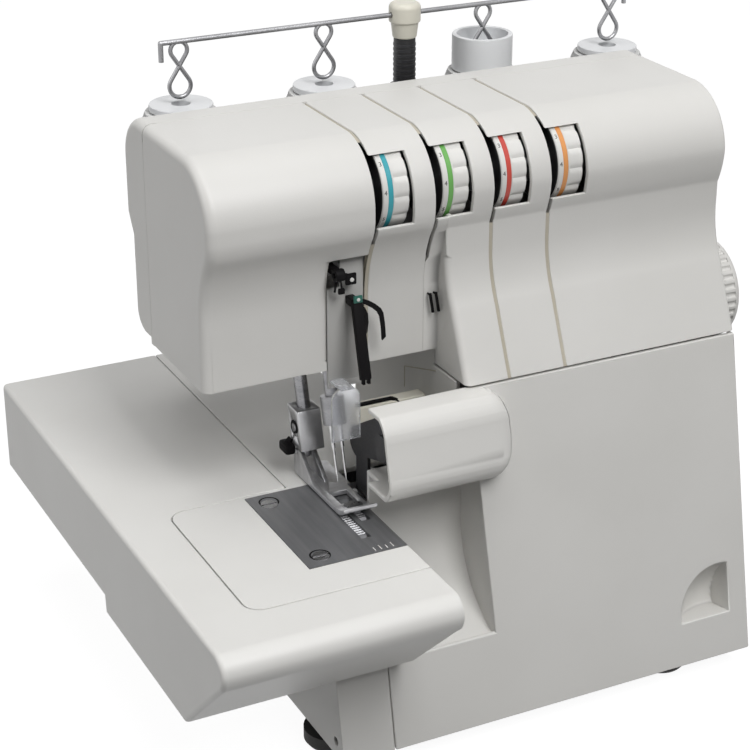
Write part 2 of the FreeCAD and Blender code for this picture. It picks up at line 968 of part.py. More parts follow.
# Looper cover with its hinge rod
def face_wall(x0, x1, z0, z1):
    steps = [(face_y(z1), z1), (face_y(z0), z0), (face_y(z0) + wall, z0), (face_y(z1) + wall, z1)]
    return outline_x(steps, x0, x1)


def scoop_outline(x0, x1, inset, front):
    # The scoop runs back and up under the pod from its lower edge.
    slant = 0.7 * inset
    low = scoop_low - inset
    high = pod_low + past
    back = scoop_back + inset
    bend = (scoop_back - scoop_round_run + slant, scoop_low + scoop_round_rise - slant)
    steps = [
        (back, high),
        (back, scoop_bend),
        (bend, (face_y(scoop_low) + inset, low)),
        (front, low),
        (front, high),
    ]
    return outline_x(steps, x0, x1)


def pod_outline(x0, x1, inset, back):
    front = pod_front + inset
    top = cover_top - inset
    low = pod_low + inset
    brow = (pod_front + pod_brow_run + 0.7 * inset, cover_top - pod_brow_drop - 0.6 * inset)
    chin = (front + pod_chin_run, pod_low + pod_chin_height + 0.4 * inset)
    steps = [
        (back, top),
        (pod_front + pod_top_run + 0.3 * inset, top),
        (brow, (front + pod_face_run, cover_top - pod_face_drop)),
        (front + seat_gap, pod_low + pod_chin_rise),
        (chin, (pod_front + pod_floor_run + 0.5 * inset, low)),
        (back, low),
    ]
    return outline_x(steps, x0, x1)


def finger_pocket(inset, outer):
    # A bowl for the fingers with a flat floor and right wall, cut square to the face.
    radius = finger_bowl_radius + inset
    centre = V(finger_right - finger_bowl_inset, -finger_bowl_front, finger_bowl_rise)
    left = finger_right - 2 * radius
    room = box(left, finger_right + inset, outer, radius, -inset, 2 * radius)
    bowl = Part.makeSphere(radius, centre).common(room)
    bowl.rotate(V(0, 0, 0), X_AXIS, -math.degrees(math.atan(face_slope)))
    bowl.translate(V(0, face_y(finger_low), finger_low))
    return bowl


def make_looper_cover():
    pod_back = flare_front + pod_back_run
    scoop_end = scoop_right + wall
    upper = face_wall(scoop_right, machine_right, scoop_low, cover_top)
    lower = face_wall(cover_low_left, machine_right, -base_drop, scoop_low + wall + past)
    ledge_low = base_top - wall - seat_gap
    lower = lower.cut(box(cover_low_left - past, cover_left, 0, machine_back, ledge_low, 0))
    scoop = scoop_outline(cover_left, scoop_end, wall, 0.0)
    high_front = (face_y(cover_top), cover_top)
    low_front = (face_y(-base_drop), -base_drop)
    low_back = (machine_back, -base_drop)
    high_back = (machine_back, cover_top)
    behind_face = outline_x([high_front, low_front, low_back, high_back], cover_left, scoop_end)
    scoop = scoop.common(behind_face)
    scoop = scoop.cut(scoop_outline(cover_left - past, scoop_right, 0.0, -past))
    pod = pod_outline(pod_left, pod_right, 0.0, pod_back)
    end_edges = []
    for edge in pod.Edges:
        middle = edge.CenterOfMass
        at_right = middle.x > pod_right - running_gap
        if at_right and middle.y < pod_back - past and middle.y < face_y(middle.z) + pod_back_run + past:
            end_edges.append(edge)
    pod = pod.makeFillet(pod_edge_radius, end_edges)
    pod_inner = pod_right - wall
    floor_back = scoop_back + wall
    pod_floor = box(cover_left, pod_inner, pod_front + pod_edge_radius, floor_back, pod_low, pod_low + wall)
    side_back = side_front - cover_gap
    side_low = floor_top + seat_gap
    toe = hinge_y + knuckle_radius
    side_steps = [
        (flare_front, cover_top),
        (cover_foot, -base_drop),
        (toe, -base_drop),
        (toe, side_low),
        (side_back, side_low),
        (side_back, cover_top - pod_edge_radius),
        (pod_back, cover_top),
    ]
    side = outline_x(side_steps, machine_right - wall, machine_right)
    knuckles = []
    reach = knuckle_radius
    for x in knuckle_places:
        end = x + knuckle_width
        bridge_front = face_y(hinge_z + reach) + past
        bridge = box(x, end, bridge_front, hinge_y, hinge_z - reach, hinge_z + reach)
        knuckles += [rod_x(x, end, hinge_y, hinge_z, reach), bridge]
    pocket = finger_pocket(wall, past / 2)
    cover = fused([upper, lower, scoop, pod, pod_floor, side, pocket] + knuckles)
    cover = cover.cut(pod_outline(pod_left - past, pod_inner, wall, scoop_back))
    cover = cover.cut(finger_pocket(0.0, -wall))
    return cover.cut(rod_x(0, machine_right + past, hinge_y, hinge_z, rod_radius + running_gap))


def make_cover_rod():
    return rod_x(rod_left, machine_right - wall - cover_gap, hinge_y, hinge_z, rod_radius)


# Base tray with hinge lugs, and rubber feet
def make_base_tray():
    low = -base_drop
    floor_front = hinge_y + base_floor_run
    front_right = cover_low_left - table_gap
    floor = box(base_left, machine_right, floor_front, machine_back, low, floor_top)
    left = box(base_left, base_left + wall, face_y(base_top) + wall, machine_back, low, base_top)
    back = box(base_left, machine_right, machine_back - wall, machine_back, low, base_top)
    side = box(machine_right - wall, machine_right, side_front, machine_back, low, base_top)
    front_left = face_wall(base_left, front_right, low, base_top)
    ledge = box(base_left, table_right, face_y(base_top), machine_back, base_top - wall, base_top)
    toe = box(base_left, front_right, cover_foot + past, floor_front + past, low, floor_top)
    corner = [(face_y(base_top), base_top), (cover_foot, low), (side_front, low), (side_front, base_top)]
    left_front = outline_x(corner, base_left, base_left + wall)
    pieces = [floor, left, back, side, front_left, ledge, toe, left_front]
    clear_back = floor_front - seat_gap
    for x in lug_places:
        end = x + lug_width
        high = hinge_z + knuckle_radius
        arm = box(x, end, hinge_y, floor_front + knuckle_radius, floor_top - past, high)
        under = box(x - past, end + past, 0, clear_back, low - past, hinge_z - knuckle_radius)
        pieces += [rod_x(x, end, hinge_y, hinge_z, knuckle_radius), arm.cut(under)]
    tray = fused(pieces)
    return tray.cut(rod_x(0, machine_right + past, hinge_y, hinge_z, rod_radius + running_gap))


def foot_places():
    front = hinge_y + front_foot_run
    back = machine_back - foot_radius - foot_inset
    left_front = (base_left + foot_radius - foot_inset, front + foot_radius - foot_inset)
    left_back = (base_left + foot_radius + 2 * foot_inset, back)
    right_front = (machine_right - right_foot_inset, front)
    right_back = (machine_right - foot_radius - 3 * foot_inset, back)
    return [left_front, right_front, left_back, right_back]


def make_rubber_feet():
    feet = []
    neck_low = -base_drop - foot_neck_height
    taper_top = -plate_height + foot_taper_height
    for x, y in foot_places():
        sole_radius = foot_radius - foot_taper
        sole = Part.makeCone(sole_radius, foot_radius, foot_taper_height, V(x, y, -plate_height))
        body = rod_z(taper_top, neck_low, x, y, foot_radius)
        neck = rod_z(neck_low - past, -base_drop, x, y, foot_neck_radius)
        feet.append(fused([sole, body, neck]))
    return group(feet)


# Cast frame that carries the drive, the bars and the bed
def bar_places():
    return [(needle_x, needle_y, needle_bar_radius), (presser_x, presser_y, presser_bar_radius)]


def make_machine_frame():
    plate_top = floor_top + frame_plate_thickness
    plate_back = frame_back + past
    foot_plate = box(frame_plate_left, frame_plate_right, frame_plate_front, plate_back, floor_top, plate_top)
    column = box(column_left, column_right, column_front, frame_back, plate_top, web_high)
    web = box(bearing_left[0], bearing_right[1], frame_front, frame_back, web_low, web_high)
    upper = box(frame_left, frame_upper_right, frame_front, frame_back, web_high, frame_top)
    low_guide = box(guide_left, guide_right, lower_guide_front, frame_back, *lower_guide)
    high_guide = box(guide_left, guide_right, upper_guide_front, frame_back, *upper_guide)
    hanger_left = guide_left - hanger_width
    hanger = box(hanger_left, guide_left, upper_guide_front, frame_back, lower_guide[0], upper_guide[1])
    boss_low = lifter_z - lifter_boss_drop
    boss_front = lifter_y - lifter_boss_run
    boss = box(guide_left, guide_right, boss_front, frame_back, boss_low, lower_guide[0] + past)
    take_up_end = take_up_hub_right + table_gap
    take_up_pin = rod_x(guide_left - past, take_up_end, take_up_y, take_up_z, take_up_pin_radius)
    left_bearing = box(*bearing_left, bearing_left_front, frame_back, bearing_low, web_high)
    right_bearing = box(*bearing_right, bearing_right_front, frame_back, web_low, web_high)
    brackets = []
    bracket_front = dial_y - dial_bracket_half
    bracket_low = dial_z - dial_bracket_half
    bracket_high = min(dial_z + dial_bracket_half, frame_top)
    for number in range(slot_count):
        x = slot_x(number) + dial_bracket_offset
        end = x + dial_bracket_width
        brackets.append(box(x, end, bracket_front, frame_front + past, bracket_low, bracket_high))
    bed = box(bed_left, column_right, bed_beam[0], bed_beam[1], bed_low, bed_high)
    tongue = box(bed_left, tongue_right, tongue_front, bed_beam[1], bed_low, tongue_high)
    cross_back = tongue_front + cross_width
    cross = box(cross_left, tongue_right, tongue_front, cross_back, bed_low, tongue_high)
    arm_pad = box(cross_left, cross_left + pad_width, tongue_front, cross_back, tongue_high - past, -wall)
    bed_pad_left = table_right
    bed_pad_front = bed_beam[0] + wall * 2
    bed_pad_back = bed_beam[1] - wall * 2
    bed_pad = box(bed_pad_left, bed_pad_left + pad_width, bed_pad_front, bed_pad_back, bed_high - past, -wall)
    post_right = frame_plate_left
    post_sides = (looper_post_front, looper_post_back)
    looper_post = box(looper_post_left, post_right, *post_sides, plate_top, bed_low)
    foot_sides = (looper_post_front, looper_foot_back)
    post_foot = box(looper_post_left, bearing_left[0], *foot_sides, floor_top, plate_top)
    looper_arm = box(lower_looper_x, post_right, *post_sides, bed_low - past, looper_arm_top)
    solids = [foot_plate, column, web, upper, hanger, boss, take_up_pin, low_guide, high_guide]
    solids += [left_bearing, right_bearing, bed, tongue, cross, arm_pad, bed_pad]
    shape = fused(solids + [looper_post, post_foot, looper_arm] + brackets)
    for left, right in (bearing_left, bearing_right):
        shape = shape.cut(rod_x(left - past, right + past, shaft_y, shaft_z, bush_radius + press_gap))
    knife_hole = knife_shaft_radius + running_gap
    shape = shape.cut(rod_x(0, bearing_left[1] + past, knife_shaft_y, knife_shaft_z, knife_hole))
    for x, y, radius in bar_places():
        hole_radius = radius + bush_wall + press_gap
        shape = shape.cut(leaning_rod(x, y, boss_low - past, frame_top, hole_radius))
    for number in range(slot_count):
        x = slot_x(number) + dial_bracket_offset
        end = x + dial_bracket_width + past
        shape = shape.cut(rod_x(x - past, end, dial_y, dial_z, post_radius + press_gap))
    looper_hole = looper_pin_radius + running_gap
    hole_end = looper_pin_end + past
    for x, z in ((lower_looper_x, lower_looper_z), (upper_looper_x, upper_looper_z)):
        shape = shape.cut(rod_y(looper_post_front - past, hole_end, x, z, looper_hole))
    return shape.cut(rod_x(frame_left, guide_right + past, lifter_y, lifter_z, lifter_radius + running_gap))


def make_bushes():
    bushes = []
    for low, high in (lower_guide, upper_guide):
        for x, y, radius in bar_places():
            tube = leaning_rod(x, y, low, high, radius + bush_wall)
            reach = 2 * bush_wall
            bushes.append(tube.cut(leaning_rod(x, y, low - reach, high + reach, radius + running_gap)))
    for left, right in (bearing_left, bearing_right):
        tube = rod_x(left, right, shaft_y, shaft_z, bush_radius)
        bore = rod_x(left - past, right + past, shaft_y, shaft_z, shaft_radius + running_gap)
        bushes.append(tube.cut(bore))
    return group(bushes)


# Drive: main shaft, handwheel, belt and motor
def make_main_shaft():
    left = bearing_left[0] - crank_length
    shaft = rod_x(left, machine_right + shaft_end, shaft_y, shaft_z, shaft_radius)
    crank = rod_x(left, bearing_left[0] - seat_gap, shaft_y, shaft_z, crank_radius)
    collar_left = bearing_left[1] + seat_gap
    collar = rod_x(collar_left, collar_left + crank_length, shaft_y, shaft_z, bush_radius)
    return fused([shaft, crank, collar])


def make_handwheel():
    left = machine_right + cover_gap
    right = left + handwheel_width
    wheel = rod_x(left, right, shaft_y, shaft_z, handwheel_radius)
    edges = [edge for edge in wheel.Edges if edge.CenterOfMass.x > right - running_gap]
    wheel = wheel.makeFillet(handwheel_edge, edges)
    hollow_end = left + handwheel_hollow
    hollow = rod_x(left - past, hollow_end, shaft_y, shaft_z, handwheel_radius - handwheel_edge)
    wheel = wheel.cut(hollow.cut(rod_x(left - past, hollow_end, shaft_y, shaft_z, handwheel_hub)))
    reach = handwheel_radius + 0.4 * handwheel_rib_radius
    groove_end = right - handwheel_edge
    groove = handwheel_rib_radius
    wheel = fluted(wheel, handwheel_ribs, shaft_y, shaft_z, reach, left - past, groove_end, groove)
    return wheel.cut(rod_x(left - past, machine_right + shaft_end, shaft_y, shaft_z, shaft_radius))


def pulley(y, z, radius):
    drum = rod_x(pulley_left, pulley_right, y, z, radius)
    left_rim = rod_x(pulley_left - pulley_rim_width, pulley_left, y, z, radius + pulley_rim)
    right_rim = rod_x(pulley_right, pulley_right + pulley_rim_width, y, z, radius + pulley_rim)
    return fused([drum, left_rim, right_rim])


def make_shaft_pulley():
    reach = pulley_rim_width + past
    bore = rod_x(pulley_left - reach, pulley_right + reach, shaft_y, shaft_z, shaft_radius)
    return pulley(shaft_y, shaft_z, shaft_pulley_radius).cut(bore)


def make_motor_housing():
    can = rod_x(motor_left, motor_right, motor_y, motor_z, motor_radius)
    half = 0.65 * motor_radius
    inset = frame_plate_thickness
    foot_low = floor_top + frame_plate_thickness
    foot = box(motor_left + inset, motor_right - inset, motor_y - half, motor_y + half, foot_low, motor_z)
    bore = rod_x(motor_left + wall, motor_right + past, motor_y, motor_z, motor_shaft_radius + running_gap)
    return fused([can, foot]).cut(bore)


def make_motor_rotor():
    left = motor_left + wall + past
    end = pulley_right + pulley_rim_width + past
    shaft = rod_x(left, end, motor_y, motor_z, motor_shaft_radius)
    return fused([shaft, pulley(motor_y, motor_z, motor_pulley_radius)])


def belt_loop(x0, x1, spread):
    # The belt's side view: the outer tangents of two circles, joined by arcs.
    big = shaft_pulley_radius + spread
    small = motor_pulley_radius + spread
    across = V(0, motor_y - shaft_y, motor_z - shaft_z)
    along = across / across.Length
    side = V(0, -along.z, along.y)
    tilt = math.asin((big - small) / across.Length)
    top = V(x0, shaft_y, shaft_z)
    foot = V(x0, motor_y, motor_z)
    front_out = along * math.sin(tilt) + side * math.cos(tilt)
    back_out = along * math.sin(tilt) - side * math.cos(tilt)
    a = top + front_out * big
    b = foot + front_out * small
    c = foot + back_out * small
    d = top + back_out * big
    edges = [
        Part.makeLine(a, b),
        Part.Arc(b, foot + along * small, c).toShape(),
        Part.makeLine(c, d),
        Part.Arc(d, top - along * big, a).toShape(),
    ]
    return Part.Face(Part.Wire(edges)).extrude(V(x1 - x0, 0, 0))


def make_drive_belt():
    left = pulley_left + past
    right = pulley_right - past
    inner = belt_loop(left - past, right + past, seat_gap)
    return belt_loop(left, right, seat_gap + belt_thickness).cut(inner)


# Needle bar, clamp and needles
def needle_places():
    return [needle_x - needle_spacing / 2, needle_x + needle_spacing / 2]


def make_needle_bar():
    return leaning_rod(needle_x, needle_y, clamp_high - clamp_socket, needle_bar_top, needle_bar_radius)


def make_needle_clamp():
    block = leaning_rod(needle_x, needle_y, clamp_low, clamp_high, clamp_radius)
    socket_low = clamp_high - clamp_socket
    socket_high = clamp_high + clamp_radius
    block = block.cut(leaning_rod(needle_x, needle_y, socket_low, socket_high, needle_bar_radius))
    for x in needle_places():
        hole_low = clamp_low - clamp_radius
        hole_high = clamp_low + clamp_shank
        hole = leaning_rod(x, needle_y, hole_low, hole_high, needle_shank_radius)
        block = block.cut(hole)
    return block


def make_needles():
    needles = []
    blade_low = needle_tip + needle_point
    blade_high = needle_tip + needle_blade
    point_length = needle_point / lean_direction.z
    for x in needle_places():
        shank = leaning_rod(x, needle_y, blade_high, clamp_low + clamp_shank, needle_shank_radius)
        blade = leaning_rod(x, needle_y, blade_low, blade_high, needle_blade_radius)
        start = on_bar(x, needle_y, needle_tip)
        point = Part.makeCone(0.1, needle_blade_radius, point_length, start, lean_direction)
        needles.append(fused([shank, blade, point]))
    return group(needles)


# Presser bar, foot holder, foot and lifter
def make_presser_bar():
    low = holder_high - holder_socket
    return leaning_rod(presser_x, presser_y, low, presser_bar_top, presser_bar_radius)


def make_foot_holder():
    left = presser_x - holder_half
    right = presser_x + holder_half
    block_low = holder_low + 2.0
    low_y = presser_y + holder_low * lean_tangent
    high_y = presser_y + holder_high * lean_tangent
    front_low = (low_y - holder_half + past, block_low)
    front_high = (high_y - holder_half, holder_high)
    back_high = (high_y + holder_half, holder_high)
    back_low = (low_y + holder_half + past, block_low)
    block = outline_x([front_low, front_high, back_high, back_low], left, right)
    tab_half = 2 * foot_pin_radius
    tab_low = foot_pivot_z - tab_half
    tab_left = presser_x - holder_tab_half
    tab_right = presser_x + holder_tab_half
    tab_front = foot_pivot_y - tab_half
    tab_back = foot_pivot_y + tab_half
    tab = box(tab_left, tab_right, tab_front, tab_back, tab_low, block_low + past)
    middle = on_bar(presser_x, presser_y, (holder_low + holder_high) / 2)
    screw_left = left - holder_screw_length
    screw = rod_x(screw_left, left + past, middle.y, middle.z, holder_screw_radius)
    reach = holder_screw_radius + past
    half = plate_screw_slot / 2
    slot_right = screw_left + past
    slot_low = middle.z - half
    slot_high = middle.z + half
    slot = box(screw_left - half, slot_right, middle.y - reach, middle.y + reach, slot_low, slot_high)
    holder = fused([block, tab, screw]).cut(slot)
    socket_low = holder_high - holder_socket
    socket_high = holder_high + holder_socket
    holder = holder.cut(leaning_rod(presser_x, presser_y, socket_low, socket_high, presser_bar_radius))
    return holder.cut(rod_x(left, right, foot_pivot_y, foot_pivot_z, foot_pin_radius + running_gap))


def make_presser_foot():
    low = foot_gap
    top = low + foot_sole
    toe_end = foot_front + foot_toe_run
    toe = (foot_front + 0.45 * foot_toe_run, low + 0.4 * foot_sole)
    toe_top = (foot_front + 0.55 * foot_toe_run, top + 0.3 * foot_toe_rise)
    steps = [
        (foot_back, low),
        (toe_end, low),
        (toe, (foot_front, low + 1.5 * foot_sole)),
        (foot_front + seat_gap, top + foot_toe_rise),
        (toe_top, (toe_end + seat_gap, top)),
        (foot_back, top),
    ]
    sole = outline_x(steps, foot_left, foot_right)
    reach = needle_spacing / 2 + foot_fork_width
    way_front = needle_y - foot_way_front
    way_back = needle_y + foot_way_back
    needle_way = box(needle_x - reach, needle_x + reach, way_front, way_back, low - past, top + past)
    fork_left = needle_x + foot_fork_left
    fork_right = fork_left + foot_fork_width
    fork_high = top + 2 * foot_toe_rise
    fork_back = needle_y + foot_fork_back
    fork = box(fork_left, fork_right, foot_front + foot_fork_front, fork_back, low - past, fork_high)
    sole = sole.cut(needle_way).cut(fork)
    cheek_low = low + past
    cheek_high = foot_pivot_z + foot_cheek_rise
    cheek_front = foot_pivot_y - foot_cheek_run
    inner = holder_tab_half + seat_gap
    cheeks = []
    for left in (presser_x - inner - foot_cheek, presser_x + inner):
        corners = [
            (foot_back, cheek_low),
            (foot_back, cheek_high),
            (cheek_front, cheek_high),
            (foot_cheek_front, cheek_low),
        ]
        cheeks.append(outline_x(corners, left, left + foot_cheek))
    pin_half = inner + foot_cheek + 0.8
    pin = rod_x(presser_x - pin_half, presser_x + pin_half, foot_pivot_y, foot_pivot_z, foot_pin_radius)
    return fused([sole, pin] + cheeks)


def make_lifter_lever():
    left = guide_right + past + inset_gap
    right = left + lifter_plate
    pin = rod_x(guide_left - 2 * past, right - past, lifter_y, lifter_z, lifter_radius)
    points = [(-6, 2), (4, 2), (8, -14), (40, -26), (38, -31), (3, -20), (-6, -6)]
    plate = outline_x(moved_outline(points, lifter_y, lifter_z), left, right)
    return fused([pin, plate])


# Knives and loopers
def make_lower_knife():
    blade_right = knife_left + lower_knife_thickness
    blade_back = knife_front + lower_knife_width
    blade = box(knife_left, blade_right, knife_front, blade_back, lower_knife_low, lower_knife_top)
    step_back = blade_back + lower_knife_width / 3.5
    front = box(blade_right, knife_holder_right, knife_front, step_back, knife_holder_low, knife_holder_high)
    shelf_back = bed_beam[0] + past
    shelf = box(blade_right, knife_holder_right, knife_front, shelf_back, knife_holder_low, knife_holder_step)
    seat_back = bed_beam[0] + 5.0
    seat_high = bed_low - inset_gap / 2
    seat = box(blade_right, knife_holder_right, knife_front, seat_back, knife_holder_low, seat_high)
    shelf = shelf.cut(box(knife_left, knife_holder_right + past, bed_beam[0], seat_back, seat_high, 0))
    return fused([blade, front, shelf, seat])


def make_upper_knife():
    left = knife_left + lower_knife_thickness + knife_gap
    shaft = rod_x(left, bearing_left[1] - past, knife_shaft_y, knife_shaft_z, knife_shaft_radius)
    boss = rod_x(left, left + knife_boss_width, knife_shaft_y, knife_shaft_z, knife_boss_radius)
    points = [(2, 7.8), (-20, 21), (-36, 19), (-40, 8), (-30, 2), (-2, -6)]
    arm = outline_x(moved_outline(points, knife_shaft_y, knife_shaft_z), left, left + knife_arm_width)
    knob_y = knife_shaft_y - 31.0
    knob_z = knife_shaft_z + 11.0
    knob = rod_x(left - knife_knob_radius / 2, left + past, knob_y, knob_z, knife_knob_radius)
    blade_front = knife_front + past
    blade_back = blade_front + upper_knife_width
    blade = box(left, left + upper_knife_thickness, blade_front, blade_back, upper_knife_low, knife_shaft_z)
    return fused([shaft, boss, arm, knob, blade])


def looper(x, z, front, points):
    corners = [(x + run, z + rise) for run, rise in points]
    plate = polygon_y(corners, front, front + looper_thickness)
    return fused([plate, rod_y(front, looper_pin_end, x, z, looper_pin_radius)])


def make_upper_looper():
    points = [(-7, -6), (6, -6), (6, 5), (-10, 24), (-32, 33), (-13, 18)]
    return looper(upper_looper_x, upper_looper_z, upper_looper_front, points)


def make_lower_looper():
    points = [(-6, -6), (6, -6), (6, 5), (-5, 36), (-24, 42), (-11, 32)]
    return looper(lower_looper_x, lower_looper_z, lower_looper_front, points)


# Thread guides at the needle side
def make_take_up_cover():
    back = take_up_plate_front + take_up_plate_thickness
    low = take_up_plate_low
    front = take_up_plate_front
    right = take_up_plate_right
    plate = box(take_up_plate_left, right, front, back, low, take_up_plate_high)
    upper = box(take_up_notch_right, right, front, back, take_up_plate_high - past, take_up_plate_top)
    stem_left = take_up_plate_left + table_gap
    stem_low = lower_guide[0] + past
    stem_high = lower_guide[1] - past
    stem = box(stem_left, stem_left + take_up_stem, back, lower_guide_front, stem_low, stem_high)
    return fused([plate, upper, stem])


def make_thread_guide_bar():
    thick = guide_bar_thickness
    front_high = (guide_bar_top_front, guide_bar_high)
    front_low = (guide_bar_foot_front, guide_bar_low)
    back_low = (guide_bar_foot_front + thick, guide_bar_low - past)
    back_high = (guide_bar_top_front + thick, guide_bar_high - past)
    bar = outline_x([front_high, front_low, back_low, back_high], guide_bar_left, guide_bar_right)
    left = guide_bar_left + table_gap
    right = guide_bar_right - table_gap
    front = guide_bar_top_front + past
    low = guide_bar_high - 5.0
    bracket = box(left, right, front, take_up_plate_front, low, guide_bar_high - past)
    return fused([bar, bracket])


def make_thread_guide_hooks():
    start_x = guide_bar_right + table_gap - running_gap * 2
    start_y = guide_bar_top_front + table_gap
    start_z = guide_bar_high - 2.0
    runs = [(0, 0, 0), (5.1, 0, 0), (12.1, -4.0, -6.0), (14.1, -5.5, -20.0)]
    curve = Part.BSplineCurve()
    curve.interpolate([V(start_x + x, start_y + y, start_z + z) for x, y, z in runs])
    section = Part.Wire([Part.makeCircle(hook_wire_radius, curve.value(0), curve.tangent(0)[0])])
    hook = Part.Wire([curve.toShape()]).makePipeShell([section], True, True)
    prongs = []
    front = lower_face_front - prong_stand_off
    foot_z = prong_high - 1.2
    for x in (prong_left, prong_left + prong_pitch):
        lower = rod_z(prong_low, prong_high, x, front, prong_radius)
        foot = rod_y(front, lower_face_front, x, foot_z, prong_radius - inset_gap)
        prongs.append(fused([lower, foot]))
    return group([hook] + prongs)


def make_finger_guard():
    back = guard_front + guard_thickness
    guard = box(guard_left, guard_right, guard_front, back, guard_low, guard_high)
    flange_left = take_up_plate_left + table_gap
    flange_low = guard_high - guard_thickness
    flange = box(flange_left, guard_right, back, take_up_plate_front, flange_low, guard_high)
    return fused([guard, flange])


def make_knife_guard():
    back = knife_guard_front + knife_guard_depth
    guard = box(knife_guard_left, flare_left, knife_guard_front, back, knife_guard_low, knife_guard_high)
    corner_edges = []
    for edge in guard.Edges:
        at_left = edge.CenterOfMass.x < knife_guard_left + past
        if at_left and edge.BoundBox.YLength > knife_guard_depth - past:
            corner_edges.append(edge)
    return guard.makeFillet(knife_guard_corner, corner_edges)


def make_take_up_lever():
    cross_z = take_up_z + take_up_cross_radius
    hub = rod_x(take_up_hub_left, take_up_hub_right, take_up_y, take_up_z, take_up_hub_radius)
    reach = take_up_hub_radius - inset_gap
    points = [
        (take_up_y, take_up_z + reach),
        (take_up_cross_y, cross_z + take_up_cross_radius),
        (take_up_cross_y, cross_z - take_up_cross_radius),
        (take_up_y, take_up_z - reach),
    ]
    arm_left = take_up_hub_left + split_gap
    lever_arm = outline_x(points, arm_left, take_up_hub_right - past)
    cross = rod_x(arm_left, take_up_finger_right, take_up_cross_y, cross_z, take_up_cross_radius)
    half = 0.8 * take_up_cross_radius
    finger_left = take_up_finger_right - 3.5
    finger_front = take_up_finger_front
    low = cross_z - half
    finger = box(finger_left, take_up_finger_right, finger_front, take_up_cross_y, low, cross_z + half)
    eye_z = cross_z - table_gap
    eye_left = finger_left - table_gap
    eye_right = take_up_finger_right + table_gap
    eye = rod_x(eye_left, eye_right, finger_front, eye_z, take_up_eye_radius)
    tail_y = take_up_y + take_up_tail_run
    tail_points = [
        (take_up_y, take_up_z - reach),
        (tail_y, take_up_z - reach),
        (tail_y, take_up_z + reach),
        (take_up_y, take_up_z + reach),
    ]
    tail = outline_x(tail_points, arm_left, take_up_hub_right - past)
    tail_weight = rod_x(take_up_hub_left, take_up_hub_right, tail_y, take_up_z, take_up_tail_radius)
    lever = fused([hub, lever_arm, cross, finger, eye, tail, tail_weight])
    eye_hole = 0.6 * take_up_cross_radius
    lever = lever.cut(rod_x(eye_left - past, eye_right + past, finger_front, eye_z, eye_hole))
    bore = take_up_pin_radius + running_gap
    return lever.cut(rod_x(take_up_hub_left - past, take_up_hub_right + past, take_up_y, take_up_z, bore))


# Tension dials with their posts and discs
def make_tension_dial(number):
    left = slot_x(number) + dial_offset
    right = left + dial_width
    end = right + past
    dial = rod_x(left, right, dial_y, dial_z, dial_radius)
    reach = dial_radius + dial_rib_radius / 3
    dial = fluted(dial, dial_ribs, dial_y, dial_z, reach, left + dial_plain_rim, end, dial_rib_radius)
    hollow = rod_x(left + dial_web, end, dial_y, dial_z, dial_radius - dial_rim)
    hub = rod_x(left, end, dial_y, dial_z, 2 * post_radius)
    bore = rod_x(left - past, end, dial_y, dial_z, post_radius + running_gap)
    return dial.cut(hollow.cut(hub)).cut(bore)


def make_tension_posts():
    posts = []
    for number in range(slot_count):
        right = slot_x(number) + dial_bracket_offset + dial_bracket_width
        posts.append(rod_x(right - post_length, right, dial_y, dial_z, post_radius))
    return group(posts)


def make_tension_discs():
    discs = []
    for number in range(slot_count):
        middle = slot_x(number)
        for left in (middle - disc_thickness - inset_gap, middle + inset_gap):
            right = left + disc_thickness
            disc = rod_x(left, right, dial_y, dial_z, disc_radius)
            bore = rod_x(left - past, right + past, dial_y, dial_z, post_radius + running_gap)
            discs.append(disc.cut(bore))
    return group(discs)


# Thread stand with spools, telescopic pole and guide rail
def spool_places():
    return [pole_x - spool_outer, pole_x - spool_inner, pole_x + spool_inner, pole_x + spool_outer]


def make_spool_stand():
    low = stand_top - stand_thickness
    places = spool_places()
    front = stand_y - stand_radius
    bar = box(places[0], places[-1], front, stand_y + stand_radius, low, stand_top)
    ends = [rod_z(low, stand_top, x, stand_y, stand_radius) for x in (places[0], places[-1])]
    points = [
        (machine_back, head_bottom - 4.0),
        (machine_back, stand_bracket_low),
        (machine_back + 4.0, stand_bracket_low),
        (stand_y + 12.0, low + past),
        (front + past, low + past),
    ]
    bracket = outline_x(points, pole_x - stand_bracket_half, pole_x + stand_bracket_half)
    return fused([bar] + ends + [bracket])


def make_spool_pins():
    high = stand_top + spool_pin_height
    return group([rod_z(stand_top, high, x, stand_y, spool_pin_radius) for x in spool_places()])


def make_spool_holders():
    holders = []
    high = stand_top + spool_holder_height + past
    for x in spool_places():
        base = V(x, stand_y, stand_top)
        disc = Part.makeCone(spool_holder_radius, spool_holder_top_radius, spool_holder_height, base, Z_AXIS)
        hole = rod_z(stand_top - past, high, x, stand_y, spool_pin_radius + inset_gap)
        holders.append(disc.cut(hole))
    return group(holders)


def make_spools():
    spools = []
    low = stand_top + spool_holder_height
    for number, x in enumerate(spool_places()):
        core = rod_z(low, spool_top - past, x, stand_y, spool_core_radius)
        flange = rod_z(low, low + spool_flange, x, stand_y, spool_radius)
        head = rod_z(spool_top - spool_head, spool_top, x, stand_y, spool_radius)
        bore = rod_z(low - past, spool_top + past, x, stand_y, spool_bore_radius)
        pieces = [core, flange, head]
        if number == tall_spool:
            neck = rod_z(spool_top - past, tall_spool_top, x, stand_y, spool_radius)
            inside = rod_z(spool_top, tall_spool_top + past, x, stand_y, spool_radius - wall)
            pieces.append(neck.cut(inside))
        spools.append(fused(pieces).cut(bore))
    return group(spools)


def make_thread_windings():
    windings = []
    low = stand_top + spool_holder_height + spool_flange + inset_gap
    high = spool_top - spool_head - inset_gap
    for x in spool_places():
        body = rod_z(low, high, x, stand_y, winding_radius)
        bore = rod_z(low - past, high + past, x, stand_y, spool_core_radius + inset_gap / 2)
        windings.append(body.cut(bore))
    return group(windings)


